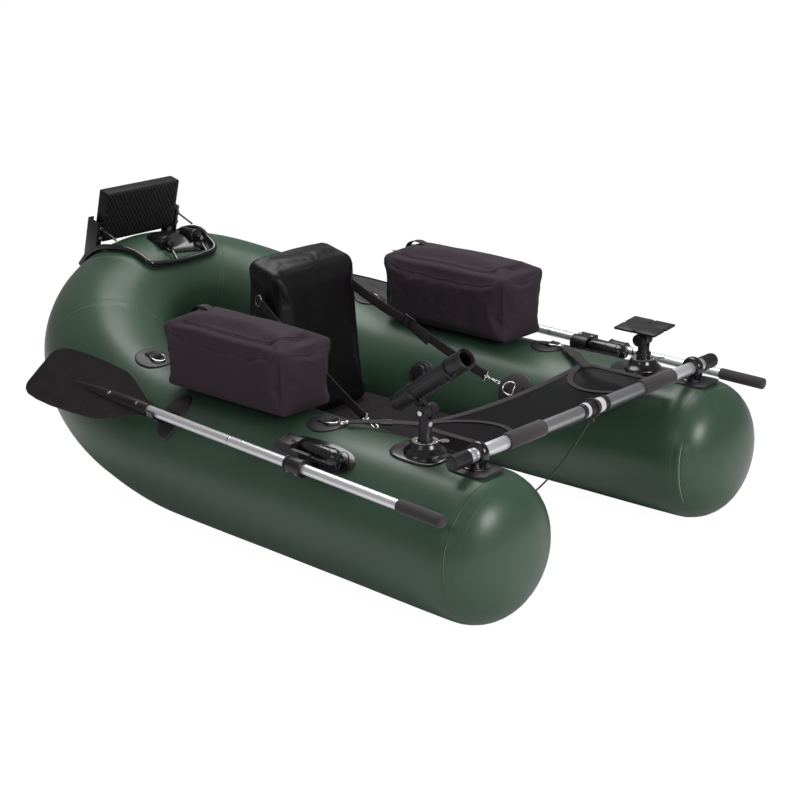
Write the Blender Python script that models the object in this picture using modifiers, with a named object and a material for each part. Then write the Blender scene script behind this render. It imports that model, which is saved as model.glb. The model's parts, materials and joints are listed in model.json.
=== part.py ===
"""Float tube: a U-shaped inflatable one-man boat with its seat, oars, bags and fittings.

Metres, +Z up. The origin is on the ground under the middle of the two pontoons, the
open end of the U looks along -Y and the raised stern along +Y. Left is -X.
"""
import math

import bmesh
import bpy
from mathutils import Euler, Matrix, Vector

# Driving sizes of the hull
TUBE_RADIUS = 0.175
STERN_SLIM = 0.010
STERN_RADIUS = TUBE_RADIUS - STERN_SLIM
TIP_SPREAD = 0.423
MID_SPREAD = 0.382
TIP_FRONT = -0.738
TIP_DOME = 0.122
STRAIGHT_END = 0.476
STERN_DEPTH = 0.424
STERN_LIFT = 0.212
STERN_HEIGHT = TUBE_RADIUS + STERN_LIFT
HULL_TOP = 2 * TUBE_RADIUS
RISE_START = 0.290
SEAT_GAP = 0.0003
WELD = 0.00002
CUT_OVERRUN = 0.004
DOME_POWER_SHARE = 0.86
HULL_SIDES = 32
STRAIGHT_STEPS = 6
RISE_STEPS = 4
BEND_STEPS = 11
DOME_STEPS = 5

# Crossbar across the open end
BAR_Y = -0.601
BAR_LIFT = 0.029
BAR_Z = HULL_TOP + BAR_LIFT
HOLDER_SHIFT = 0.011
HOLDER_X = TIP_SPREAD - HOLDER_SHIFT
BAR_OVERHANG = 0.068
BAR_HALF = HOLDER_X + BAR_OVERHANG
BAR_RADIUS = 0.015
BAR_WALL = 0.0015
GRIP_RADIUS = 0.019
GRIP_INNER_X = 0.190
GRIP_OUTER_X = 0.318
SLEEVE_RADIUS = 0.0172
SLEEVE_HALF = 0.048
CAP_RADIUS = 0.0178
CAP_LENGTH = 0.052
CAP_PLUG = 0.020
CAP_EDGE = 0.003
HOLDER_WIDTH = 0.021
HOLDER_WALL = 0.0095
HOLDER_PAD_LENGTH = 0.110
HOLDER_PAD_WIDTH = 0.090
HOLDER_FOOT = 0.034

# Patches glued on the hull
PATCH_THICK = 0.0022
PATCH_GAP = 0.0006
ROUND_PATCH = 0.048
RING_WIRE = 0.0022
RING_WIDTH = 0.034
RING_LENGTH = 0.030
KEEPER_WIDTH = 0.028
KEEPER_LENGTH = 0.016
KEEPER_HEIGHT = 0.0085
FRONT_RING_Y = -0.165
REAR_RING_Y = 0.495
INNER_RING_Y = -0.172
TOP_RING_ANGLE = 3.0
INNER_RING_ANGLE = -58.0

# Valves on the inner side of each pontoon
VALVE_Y = 0.128
VALVE_ANGLE = -63.0
VALVE_FLANGE = 0.030
VALVE_FLANGE_THICK = 0.004
VALVE_CAP = 0.021
VALVE_CAP_HEIGHT = 0.012
VALVE_STEM = 0.0085

# Seat and backrest between the pontoons
SEAT_WIDTH = 0.470
SEAT_FRONT = -0.110
SEAT_BACK = 0.400
SEAT_BOTTOM = 0.095
SEAT_TOP = 0.183
SEAT_CROWN = 0.012
BACK_WIDTH = 0.320
BACK_HEIGHT = 0.412
BACK_TOP_DROP = 0.022
BACK_FOOT_FRONT = 0.212
BACK_FOOT_DEPTH = 0.170
BACK_HEAD_DEPTH = 0.108
BACK_LEAN = 0.040
CUSHION_ROUND = 0.030

# Backrest straps, from the backrest's sides to the inner rings
STRAP_WIDTH = 0.025
STRAP_THICK = 0.0022
STRAP_BACK_DROP = 0.100
STRAP_BACK_DRAW = 0.0059
BUCKLE_LENGTH = 0.034
BUCKLE_WIDTH = 0.032
BUCKLE_THICK = 0.008
BUCKLE_SHARE = 0.42
HOOK_LENGTH = 0.042
HOOK_WIRE = 0.0024

# Oars and oarlocks
OAR_OUT = 0.005
OAR_SPREAD = TIP_SPREAD + TUBE_RADIUS + OAR_OUT
OAR_Y = -0.248
OAR_DOWN = 0.034
OAR_Z = HULL_TOP - OAR_DOWN
OAR_SPLAY_SHARE = 0.0363
OAR_RISE_SHARE = 0.0266
SHAFT_RADIUS = 0.0115
SHAFT_FRONT = 0.425
SHAFT_BACK = 0.515
OAR_GRIP_RADIUS = 0.0145
OAR_GRIP_LENGTH = 0.125
OAR_GRIP_PLUG = 0.004
BLADE_START = 0.503
BLADE_LENGTH = 0.432
BLADE_HALF = 0.082
BLADE_THICK = 0.0050
BLADE_TILT = 38.0
BLADE_RIB = 0.0145
BLADE_RIB_LENGTH = 0.300
COLLAR_RADIUS = 0.0190
COLLAR_LENGTH = 0.050
COLLAR_CLEAR = 0.0004
COLLAR_BOSS = 0.011
LOCK_ACROSS = 0.067
LOCK_RISE = 0.015
LOCK_BACK = 0.073
LOCK_HUB = 0.0195
LOCK_HUB_LENGTH = 0.048
LOCK_ARM_HEIGHT = 0.032
LOCK_ARM_THICK = 0.011
LOCK_NECK = 0.0125
LOCK_NECK_LENGTH = 0.014
LOCK_AXLE = 0.0060
LOCK_CLEAR = 0.0005
PIVOT_PIN = 0.0050
BARREL_RADIUS = 0.0205
BARREL_LENGTH = 0.102
LOCK_PAD_Y = -0.230
LOCK_PAD_LENGTH = 0.225
LOCK_PAD_WIDTH = 0.072
LOCK_ANGLE = 38.0
CLIP_STATION = 0.484
CLIP_LENGTH = 0.024
CLIP_WALL = 0.0045
CLIP_CLEAR = 0.0006
CLIP_PAD_Y = 0.250
CLIP_PAD_ANGLE = 45.0
CLIP_PAD_LENGTH = 0.066
CLIP_PAD_WIDTH = 0.130
CLIP_STEM_ANGLE = 47.0

# Star ports that carry the rod holder and the sounder plate
PORT_Y = -0.455
PORT_PAD_LENGTH = 0.150
PORT_PAD_WIDTH = 0.120
PORT_SKIRT = 0.041
PORT_RADIUS = 0.031
PORT_RISE = 0.024
PORT_Z = HULL_TOP + PORT_RISE
PORT_BORE = 0.0165
PORT_BORE_DEPTH = 0.020
PORT_SEGMENTS = 20
LEVER_RADIUS = 0.008
LEVER_THICK = 0.004
LEVER_LENGTH = 0.030
LEVER_PIN = 0.0030
POST_RADIUS = 0.0155
POST_CLEAR = 0.0004
KNUCKLE_RISE = 0.066
KNUCKLE_RADIUS = 0.0160
KNUCKLE_HALF = 0.0148
KNUCKLE_TONGUE = 0.0050
KNOB_RADIUS = 0.0160
KNOB_DEPTH = 0.016
KNOB_LOBES = 6
KNOB_LOBE = 0.0022
BOLT_RADIUS = 0.0035
ROD_TUBE_OFFSET = 0.049
ROD_TUBE_RADIUS = 0.0212
ROD_TUBE_WALL = 0.0025
ROD_TUBE_BACK = 0.066
ROD_TUBE_FRONT = 0.176
ROD_TUBE_PITCH = 36.0
ROD_RIB = 0.0025
SOUNDER_RISE = 0.050
PLATE_LENGTH = 0.120
PLATE_WIDTH = 0.092
PLATE_THICK = 0.006
PLATE_TILT = 6.0
PLATE_HOLE = 0.0045
PLATE_SLOT = 0.009

# Motor mount on the stern
MOUNT_WIRE = 0.0080
MOUNT_LIFT = 0.0010
MOUNT_FRONT_Y = 0.768
MOUNT_FRONT_HALF = 0.096
MOUNT_CORNER_X = 0.124
MOUNT_CORNER_Y = 0.792
MOUNT_SPREAD_Y = 0.900
MOUNT_TAIL_Y = 1.018
MOUNT_LEG_STEPS = 9
SOCKET_LEFT = -0.022
SOCKET_RIGHT = 0.086
SOCKET_FRONT = 0.812
SOCKET_LENGTH = 0.052
SOCKET_RADIUS = 0.0190
SOCKET_BORE = 0.0070
SOCKET_DOWN = 0.009
SOCKET_Z = STERN_HEIGHT + STERN_RADIUS - SOCKET_DOWN
SOCKET_PAD_X = 0.032
SOCKET_PAD_LENGTH = 0.110
SOCKET_PAD_WIDTH = 0.156
SOCKET_PAD_ANGLE = -20.0
PRONG_RADIUS = 0.0052
PRONG_TIP = 0.826
BOARD_WIDTH = 0.257
BOARD_HEIGHT = 0.142
BOARD_THICK = 0.036
BOARD_RAKE = 14.0
BOARD_TOP_Y = 0.9210
BOARD_RISE = 0.128
BOARD_TOP_Z = STERN_HEIGHT + STERN_RADIUS + BOARD_RISE
BOARD_EDGE = 0.003
UPRIGHT_WIDTH = 0.018
UPRIGHT_DEPTH = 0.043
UPRIGHT_FORWARD = 0.004
UPRIGHT_WALL = 0.003
UPRIGHT_TOP_DROP = 0.083
UPRIGHT_LENGTH = 0.146
BRACE_RADIUS = 0.0030
BRACE_TOP_DROP = 0.095
BRACE_TOP_Z = BOARD_TOP_Z - BRACE_TOP_DROP
BRACE_FOOT_Y = 0.885

# Bags on the pontoons
BAG_X = 0.401
BAG_WIDTH = 0.190
BAG_FRONT = -0.095
BAG_LENGTH_LEFT = 0.412
BAG_LENGTH_RIGHT = 0.432
BAG_HEIGHT_LEFT = 0.1795
BAG_HEIGHT_RIGHT = 0.1935
BAG_SINK = 0.004
BAG_ROUND = 0.018
BAG_SEAM = 0.0385
BAG_SEAT_HALF = 0.040
BAG_DOME = 0.010
HANDLE_WIDTH = 0.022
HANDLE_RISE = 0.020
HANDLE_SPAN = 0.070
HANDLE_THICK = 0.0022
SLIDER_LENGTH = 0.012
SLIDER_WIDTH = 0.009
SLIDER_HEIGHT = 0.004
SLIDER_PULL = 0.022
ZIP_X_SHARE = 0.30
ZIP_INSET = 0.045

# Mesh apron behind the crossbar
APRON_HALF = 0.325
APRON_BACK = -0.335
APRON_THICK = 0.0020
APRON_SAG = 0.020
APRON_EDGE_LIFT = 0.008
APRON_BAR_GAP = 0.0006
APRON_STEPS_X = 16
APRON_STEPS_Y = 5

# Lanyard from the middle of the crossbar to the front edge of the seat
LANYARD_WIRE = 0.0022
LANYARD_SAG = 0.165
LANYARD_LOOP = 0.0009
LANYARD_TUCK = 0.0099
LANYARD_RISE = 0.0068
LOOP_SIDES = 16
LANYARD_POINTS = 52

HULL_GREEN = (0.075, 0.125, 0.085)
RUBBER_BLACK = (0.022, 0.021, 0.022)
CLOTH_BLACK = (0.040, 0.034, 0.040)
PLASTIC_BLACK = (0.028, 0.026, 0.029)
ALUMINIUM = (0.62, 0.62, 0.64)
CHROME = (0.80, 0.80, 0.82)


def remove_everything():
    for item in list(bpy.data.objects):
        bpy.data.objects.remove(item, do_unlink=True)
    for group in list(bpy.data.collections):
        bpy.data.collections.remove(group)


def collection(name):
    group = bpy.data.collections.new(name)
    bpy.context.scene.collection.children.link(group)
    return group


def material(name, colour, roughness, metallic=0.0):
    made = bpy.data.materials.new(name)
    made.use_nodes = True
    shader = made.node_tree.nodes["Principled BSDF"]
    shader.inputs["Base Color"].default_value = (*colour, 1.0)
    shader.inputs["Roughness"].default_value = roughness
    shader.inputs["Metallic"].default_value = metallic
    return made


remove_everything()
PARTS = collection("float_tube")
CUTTERS = collection("cutters")


def side_name(stem, side):
    return f"{stem}_{'left' if side < 0 else 'right'}"


def add_object(name, data, finish, place=None, group=None):
    made = bpy.data.objects.new(name, data)
    (group or PARTS).objects.link(made)
    if finish is not None:
        data.materials.append(material(name, *finish))
    if place is not None:
        made.matrix_world = place
    return made


def mesh_object(name, bm, finish, place=None, smooth=40.0):
    bmesh.ops.recalc_face_normals(bm, faces=bm.faces)
    data = bpy.data.meshes.new(name)
    bm.to_mesh(data)
    bm.free()
    data.shade_smooth()
    data.set_sharp_from_angle(angle=math.radians(smooth))
    return add_object(name, data, finish, place)


def box(name, size, finish=None, place=None, edge=0.0):
    bm = bmesh.new()
    bmesh.ops.create_cube(bm, size=1.0)
    bmesh.ops.scale(bm, vec=size, verts=bm.verts)
    made = mesh_object(name, bm, finish, place)
    if edge:
        bevel = made.modifiers.new("edges", "BEVEL")
        bevel.width = edge
        bevel.segments = 2
    return made


def drum(name, radius, length, finish=None, place=None, top=None, sides=20):
    """A cylinder or cone along its own Z, centred."""
    bm = bmesh.new()
    end = radius if top is None else top
    bmesh.ops.create_cone(bm, cap_ends=True, segments=sides, radius1=radius, radius2=end, depth=length)
    return mesh_object(name, bm, finish, place)


def turned(name, profile, finish=None, place=None, sides=24):
    """A closed profile of (radius, height) turned about Z with a Screw modifier."""
    data = bpy.data.meshes.new(name)
    points = [(radius, 0.0, height) for radius, height in profile]
    edges = [(i, (i + 1) % len(points)) for i in range(len(points))]
    data.from_pydata(points, edges, [])
    made = add_object(name, data, None, place)
    screw = made.modifiers.new("turn", "SCREW")
    screw.steps = sides
    screw.render_steps = sides
    screw.use_merge_vertices = True
    screw.merge_threshold = WELD
    screw.use_normal_calculate = True
    solid = bpy.data.meshes.new_from_object(made.evaluated_get(bpy.context.evaluated_depsgraph_get()))
    bpy.data.objects.remove(made, do_unlink=True)
    bm = bmesh.new()
    bm.from_mesh(solid)
    bmesh.ops.remove_doubles(bm, verts=bm.verts, dist=WELD)
    bpy.data.meshes.remove(solid)
    return mesh_object(name, bm, finish, place)


def wire(name, points, radius, finish=None, place=None, rounds=2, closed=False, radii=None):
    """A round rod along points: a poly curve with filled caps, made a mesh."""
    curve = bpy.data.curves.new(name, "CURVE")
    curve.dimensions = "3D"
    curve.bevel_depth = radius
    curve.bevel_resolution = rounds
    curve.use_fill_caps = not closed
    spline = curve.splines.new("POLY")
    spline.points.add(len(points) - 1)
    for index, (point, place_on) in enumerate(zip(spline.points, points)):
        point.co = (*place_on, 1.0)
        if radii is not None:
            point.radius = radii[index]
    spline.use_cyclic_u = closed
    made = add_object(name, curve, None, place)
    bpy.context.view_layer.update()
    solid = bpy.data.meshes.new_from_object(made.evaluated_get(bpy.context.evaluated_depsgraph_get()))
    bpy.data.objects.remove(made, do_unlink=True)
    bm = bmesh.new()
    bm.from_mesh(solid)
    bmesh.ops.remove_doubles(bm, verts=bm.verts, dist=WELD)
    bpy.data.meshes.remove(solid)
    return mesh_object(name, bm, finish, place)


def combine(target, tool, operation):
    """Cut the tool from the target, or join it on, and keep the tool as a guide."""
    modifier = target.modifiers.new(tool.name, "BOOLEAN")
    modifier.operation = operation
    modifier.solver = "EXACT"
    modifier.object = tool
    for group in list(tool.users_collection):
        group.objects.unlink(tool)
    CUTTERS.objects.link(tool)
    tool.hide_render = True
    tool.display_type = "WIRE"
    return target


def cut(target, *tools):
    for tool in tools:
        combine(target, tool, "DIFFERENCE")
    return target


def join(target, *tools):
    for tool in tools:
        combine(target, tool, "UNION")
    return target


def hinge_empty(name, place, *pieces):
    """An empty on a joint's axis that carries the pieces of its moving body."""
    pivot = bpy.data.objects.new(name, None)
    PARTS.objects.link(pivot)
    pivot.empty_display_size = PORT_RADIUS
    pivot.matrix_world = place
    bpy.context.view_layer.update()
    for piece in pieces:
        piece.parent = pivot
        piece.matrix_parent_inverse = pivot.matrix_world.inverted()
    return pivot


def facing(direction, up=(0.0, 0.0, 1.0)):
    """A turn that takes Z to the direction and keeps X as level as it can."""
    z = Vector(direction).normalized()
    x = Vector(up).cross(z)
    x = x.normalized() if x.length > 0.001 else Vector((1.0, 0.0, 0.0))
    y = z.cross(x)
    return Matrix((x, y, z)).transposed().to_4x4()


def at(x=0.0, y=0.0, z=0.0, turn=None):
    return Matrix.Translation((x, y, z)) @ (turn if turn is not None else Matrix.Identity(4))


def turn_about(axis, degrees):
    return Matrix.Rotation(math.radians(degrees), 4, axis)


def smooth_step(share):
    clipped = min(max(share, 0.0), 1.0)
    return clipped * clipped * (3.0 - 2.0 * clipped)


def bend_length():
    steps = 64
    total = 0.0
    last = Vector((MID_SPREAD, 0.0))
    for step in range(1, steps + 1):
        angle = math.pi / 2 * step / steps
        here = Vector((MID_SPREAD * math.cos(angle), STERN_DEPTH * math.sin(angle)))
        total += (here - last).length
        last = here
    return total


TIP_AXIS = TIP_FRONT
STRAIGHT_LENGTH = STRAIGHT_END - TIP_AXIS
BEND_LENGTH = bend_length()
RISE_LENGTH = STRAIGHT_END + BEND_LENGTH - RISE_START


def hull_station(side, y=None, bend=None):
    """Centre and radius of the hull tube at a y of one pontoon or a bend angle of the stern."""
    if bend is None and y > STRAIGHT_END:
        bend = math.asin((y - STRAIGHT_END) / STERN_DEPTH)
    if bend is None:
        share = (y - TIP_AXIS) / STRAIGHT_LENGTH
        x = TIP_SPREAD + (MID_SPREAD - TIP_SPREAD) * share
        along = y - RISE_START
    else:
        x = MID_SPREAD * math.cos(bend)
        y = STRAIGHT_END + STERN_DEPTH * math.sin(bend)
        along = STRAIGHT_END - RISE_START + BEND_LENGTH * bend / (math.pi / 2)
    gain = smooth_step(along / RISE_LENGTH)
    z = TUBE_RADIUS + (STERN_HEIGHT - TUBE_RADIUS) * gain
    radius = TUBE_RADIUS + (STERN_RADIUS - TUBE_RADIUS) * gain
    return Vector((side * x, y, z)), radius


def hull_axis(grow=0.0):
    """Points and radii of the whole tube, from the left tip round the stern to the right."""
    half = []
    for step in range(DOME_STEPS):
        angle = math.pi / 2 * (step + 0.35) / DOME_STEPS
        reach = TIP_DOME * (1.0 - math.cos(angle) ** DOME_POWER_SHARE)
        swell = math.sin(angle) ** DOME_POWER_SHARE
        centre, radius = hull_station(-1, y=TIP_FRONT - grow + reach)
        half.append((centre, radius * swell + grow))
    runs = ((TIP_FRONT + TIP_DOME, RISE_START, STRAIGHT_STEPS), (RISE_START, STRAIGHT_END, RISE_STEPS))
    for start, end, steps in runs:
        for step in range(steps):
            centre, radius = hull_station(-1, y=start + (end - start) * step / steps)
            half.append((centre, radius + grow))
    for step in range(BEND_STEPS):
        centre, radius = hull_station(-1, bend=math.pi / 2 * step / BEND_STEPS)
        half.append((centre, radius + grow))
    middle, radius = hull_station(-1, bend=math.pi / 2)
    other = [(Vector((-c.x, c.y, c.z)), r) for c, r in reversed(half)]
    return half + [(middle, radius + grow)] + other


def loft(name, rings, finish=None):
    """A closed skin through rings of equal point counts, capped at both ends."""
    bm = bmesh.new()
    rows = [[bm.verts.new(point) for point in ring] for ring in rings]
    count = len(rows[0])
    for low, high in zip(rows, rows[1:]):
        for index in range(count):
            after = (index + 1) % count
            bm.faces.new((low[index], low[after], high[after], high[index]))
    bm.faces.new(list(reversed(rows[0])))
    bm.faces.new(rows[-1])
    return mesh_object(name, bm, finish)


def hull_rings(grow=0.0, sides=HULL_SIDES):
    stations = hull_axis(grow)
    rings = []
    for index, (centre, radius) in enumerate(stations):
        before = stations[max(index - 1, 0)][0]
        after = stations[min(index + 1, len(stations) - 1)][0]
        along = (after - before).normalized()
        level = Vector((0.0, 0.0, 1.0)).cross(along).normalized()
        rise = along.cross(level)
        ring = []
        for step in range(sides):
            angle = 2.0 * math.pi * (step + 0.5) / sides
            ring.append(centre + radius * (level * math.cos(angle) + rise * math.sin(angle)))
        rings.append(ring)
    return rings


def make_hull():
    return loft("hull_tube", hull_rings(), (HULL_GREEN, 0.42))


def hull_grown(name, grow):
    return loft(name, hull_rings(grow), None)


def hull_frame(side, y=None, bend=None, angle=0.0, lift=0.0):
    """A frame on the hull: Z along the outward normal, Y along the tube towards the stern.

    The angle is measured from the top of the tube, outboard being positive.
    """
    centre, radius = hull_station(side, y, bend)
    if bend is None:
        ahead, _ = hull_station(side, y + TUBE_RADIUS / 50)
    else:
        ahead, _ = hull_station(side, bend=bend + 0.01)
    along = (ahead - centre).normalized()
    out = along.cross(Vector((0.0, 0.0, 1.0))).normalized() * side
    up = out.cross(along).normalized() * side
    turn = math.radians(angle)
    normal = out * math.sin(turn) + up * math.cos(turn)
    across = along.cross(normal)
    frame = Matrix((across, along, normal)).transposed().to_4x4()
    return Matrix.Translation(centre + normal * (radius + lift)) @ frame, centre, radius


def wrapped_pad(name, side, length, width, thick, finish, y=None, bend=None, angle=0.0,
                corner=2.0, steps=5):
    """A thin pad glued on the hull: an outline grid bent round the tube, then thickened."""
    _, centre, radius = hull_frame(side, y, bend, angle)
    bm = bmesh.new()
    bmesh.ops.create_grid(bm, x_segments=steps, y_segments=steps, size=1.0)
    for vert in bm.verts:
        u, v = vert.co.x, vert.co.y
        reach = max(abs(u), abs(v))
        spread = (abs(u) ** corner + abs(v) ** corner) ** (1.0 / corner)
        pull = reach / spread if spread > 0 else 1.0
        bent = angle + math.degrees(u * pull * width / 2 / radius)
        slide = v * pull * length / 2
        here_y = None if y is None else y + slide
        here_bend = None if bend is None else bend + slide / MID_SPREAD
        spot, _, _ = hull_frame(side, here_y, here_bend, bent, PATCH_GAP)
        vert.co = spot.translation
    made = mesh_object(name, bm, finish)
    turn_outwards(made, centre)
    shell = made.modifiers.new("thickness", "SOLIDIFY")
    shell.thickness = thick
    shell.offset = 1.0
    return made


def turn_outwards(made, centre):
    bm = bmesh.new()
    bm.from_mesh(made.data)
    face = bm.faces[:][0]
    if face.normal.dot(face.calc_center_median() - centre) < 0:
        bmesh.ops.reverse_faces(bm, faces=bm.faces)
    bm.to_mesh(made.data)
    bm.free()


RUBBER = (RUBBER_BLACK, 0.55)
PLASTIC = (PLASTIC_BLACK, 0.45)
CLOTH = (CLOTH_BLACK, 0.85)
METAL = (ALUMINIUM, 0.32, 1.0)
BRIGHT = (CHROME, 0.15, 1.0)


def ring_patch(name, side, y, angle, lean):
    """A round patch with a webbing keeper and a D-ring that leans along the hull."""
    pad = wrapped_pad(name, side, 2 * ROUND_PATCH, 2 * ROUND_PATCH, PATCH_THICK, RUBBER, y=y, angle=angle)
    frame, _, _ = hull_frame(side, y, None, angle)
    top = SEAT_GAP + PATCH_THICK
    keeper = box(name + "_keeper", (KEEPER_WIDTH, KEEPER_LENGTH, KEEPER_HEIGHT), None,
                 frame @ at(z=top + KEEPER_HEIGHT / 2 - PATCH_THICK / 2))
    ring = wire(name + "_ring", d_outline(), RING_WIRE, None,
                frame @ at(z=top + KEEPER_HEIGHT / 2) @ turn_about("X", lean), rounds=1, closed=True)
    return cut(join(pad, keeper, ring), hull_grown(name + "_hull", SEAT_GAP))


def d_outline():
    points = [(-RING_WIDTH / 2, 0.0, 0.0), (RING_WIDTH / 2, 0.0, 0.0)]
    bow = RING_LENGTH
    for step in range(9):
        angle = math.pi * step / 8
        points.append((RING_WIDTH / 2 * math.cos(angle), bow * 0.35 + bow * 0.65 * math.sin(angle), 0.0))
    return points


def make_ring_patches():
    for side in (-1, 1):
        ring_patch(side_name("front_ring_patch", side), side, FRONT_RING_Y, TOP_RING_ANGLE, 180.0)
        ring_patch(side_name("rear_ring_patch", side), side, REAR_RING_Y, TOP_RING_ANGLE, 180.0)
        ring_patch(side_name("inner_ring_patch", side), side, INNER_RING_Y, INNER_RING_ANGLE, 12.0)


def make_valves():
    for side in (-1, 1):
        frame, _, radius = hull_frame(side, VALVE_Y, None, VALVE_ANGLE)
        name = side_name("valve_seat", side)
        sink = radius - math.sqrt(radius ** 2 - VALVE_FLANGE ** 2)
        low = -sink
        flange = turned(name, [
            (0.0, low), (VALVE_FLANGE, low), (VALVE_FLANGE, VALVE_FLANGE_THICK * 0.5),
            (VALVE_CAP + PATCH_THICK, VALVE_FLANGE_THICK), (VALVE_STEM, VALVE_FLANGE_THICK),
            (VALVE_STEM, VALVE_FLANGE_THICK + VALVE_CAP_HEIGHT * 0.5),
            (0.0, VALVE_FLANGE_THICK + VALVE_CAP_HEIGHT * 0.5),
        ], PLASTIC, frame, sides=24)
        cut(flange, hull_grown(name + "_hull", SEAT_GAP))
        floor = VALVE_FLANGE_THICK + SEAT_GAP
        bore = VALVE_STEM + LOCK_CLEAR
        turned(side_name("valve_cap", side), [
            (bore, floor), (VALVE_CAP, floor), (VALVE_CAP, floor + VALVE_CAP_HEIGHT * 0.8),
            (VALVE_CAP * 0.88, floor + VALVE_CAP_HEIGHT), (0.0, floor + VALVE_CAP_HEIGHT),
            (0.0, floor + VALVE_CAP_HEIGHT * 0.62), (bore, floor + VALVE_CAP_HEIGHT * 0.62),
        ], PLASTIC, frame, sides=20)


def cushion(name, size, place, finish, front_top=0.0, back_top=0.0, crown=0.0, front_drop=0.0):
    """A soft block: a coarse cage, rounded by Subdivision Surface."""
    bm = bmesh.new()
    bmesh.ops.create_cube(bm, size=1.0)
    bmesh.ops.subdivide_edges(bm, edges=bm.edges, cuts=3, use_grid_fill=True)
    for vert in bm.verts:
        x, y, z = vert.co
        high = z + 0.5
        waist = 1.0 - 0.05 * (1.0 - (2.0 * z) ** 2) * (abs(x) > 0.4)
        depth = size[1] * (1.0 - high) + (size[1] + back_top - front_top) * high
        start = front_top * high
        vert.co.x = x * size[0] * waist
        vert.co.y = start + depth * (y + 0.5)
        bulge = crown * (1.0 - (2.0 * x) ** 2) * (1.0 - (2.0 * y) ** 2)
        vert.co.z = (size[2] - front_drop * (0.5 - y)) * high + (bulge if z > 0.4 else 0.0)
    made = mesh_object(name, bm, finish, place, smooth=60.0)
    soft = made.modifiers.new("soft", "SUBSURF")
    soft.levels = 1
    soft.render_levels = 1
    return made


def make_seat():
    depth = SEAT_BACK - SEAT_FRONT
    seat = cushion("seat_cushion", (SEAT_WIDTH, depth, SEAT_TOP - SEAT_BOTTOM),
                   at(0.0, SEAT_FRONT, SEAT_BOTTOM), CLOTH, crown=SEAT_CROWN)
    cut(seat, hull_grown("seat_hull", SEAT_GAP))
    level = box("seat_level", (SEAT_WIDTH * 2, depth * 2, SEAT_TOP), None,
                at(0.0, SEAT_FRONT + depth / 2, SEAT_TOP * 1.5))
    cut(seat, level)
    back = cushion("seat_backrest", (BACK_WIDTH, BACK_FOOT_DEPTH, BACK_HEIGHT + CUSHION_ROUND),
                   at(0.0, BACK_FOOT_FRONT, SEAT_TOP - CUSHION_ROUND / 2), (PLASTIC_BLACK, 0.3),
                   front_top=BACK_LEAN, back_top=BACK_LEAN + BACK_HEAD_DEPTH - BACK_FOOT_DEPTH,
                   front_drop=BACK_TOP_DROP)
    foot = box("backrest_foot", (BACK_WIDTH * 2, BACK_FOOT_DEPTH * 3, CUSHION_ROUND * 2), None,
               at(0.0, BACK_FOOT_FRONT + BACK_FOOT_DEPTH / 2, SEAT_TOP + SEAT_GAP - CUSHION_ROUND))
    cut(back, foot)


def make_crossbar():
    lie = turn_about("Y", 90.0)
    bar = at(0.0, BAR_Y, BAR_Z) @ lie
    turned("crossbar_tube", [
        (BAR_RADIUS, -BAR_HALF), (BAR_RADIUS, BAR_HALF),
        (BAR_RADIUS - BAR_WALL, BAR_HALF), (BAR_RADIUS - BAR_WALL, -BAR_HALF),
    ], METAL, bar, sides=20)
    fit = BAR_RADIUS + SEAT_GAP
    for side in (-1, 1):
        low, high = sorted((side * GRIP_INNER_X, side * GRIP_OUTER_X))
        turned(side_name("crossbar_grip", side), [
            (fit, low), (GRIP_RADIUS, low), (GRIP_RADIUS, high), (fit, high),
        ], CLOTH, bar, sides=20)
        plug = BAR_RADIUS - BAR_WALL - SEAT_GAP
        inner = BAR_HALF - CAP_LENGTH + CAP_PLUG + SEAT_GAP
        outer = BAR_HALF + CAP_PLUG
        profile = [
            (fit, inner), (CAP_RADIUS, inner), (CAP_RADIUS, outer - CAP_EDGE),
            (CAP_RADIUS - CAP_EDGE, outer), (0.0, outer),
            (0.0, BAR_HALF - CAP_PLUG), (plug, BAR_HALF - CAP_PLUG), (plug, BAR_HALF + SEAT_GAP),
            (fit, BAR_HALF + SEAT_GAP),
        ]
        turned(side_name("crossbar_cap", side), [(r, side * z) for r, z in profile], RUBBER, bar, sides=20)
        make_bar_holder(side)
    turned("crossbar_sleeve", [
        (fit, -SLEEVE_HALF), (SLEEVE_RADIUS, -SLEEVE_HALF), (SLEEVE_RADIUS, SLEEVE_HALF), (fit, SLEEVE_HALF),
    ], PLASTIC, bar, sides=20)


def make_bar_holder(side):
    """A rubber foot on its pad with a loop that the crossbar passes through."""
    name = side_name("crossbar_holder", side)
    pad = wrapped_pad(name, side, HOLDER_PAD_LENGTH, HOLDER_PAD_WIDTH, PATCH_THICK, RUBBER,
                      y=BAR_Y, corner=3.4)
    bore = BAR_RADIUS + SEAT_GAP
    loop = turned(name + "_loop", [
        (bore, -HOLDER_WIDTH / 2), (bore + HOLDER_WALL * 0.6, -HOLDER_WIDTH / 2),
        (bore + HOLDER_WALL, -HOLDER_WIDTH / 4), (bore + HOLDER_WALL, HOLDER_WIDTH / 4),
        (bore + HOLDER_WALL * 0.6, HOLDER_WIDTH / 2), (bore, HOLDER_WIDTH / 2),
    ], None, at(side * HOLDER_X, BAR_Y, BAR_Z) @ turn_about("Y", 90.0), sides=20)
    centre, radius = hull_station(side, y=BAR_Y)
    low = centre.z + radius + SEAT_GAP + PATCH_THICK / 2
    drop = BAR_Z - bore - PATCH_THICK / 2 - low
    foot = drum(name + "_foot", HOLDER_FOOT, drop, None,
                at(side * HOLDER_X, BAR_Y, low + drop / 2), top=HOLDER_WIDTH * 0.8)
    return cut(join(pad, foot, loop), hull_grown(name + "_hull", SEAT_GAP))


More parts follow.
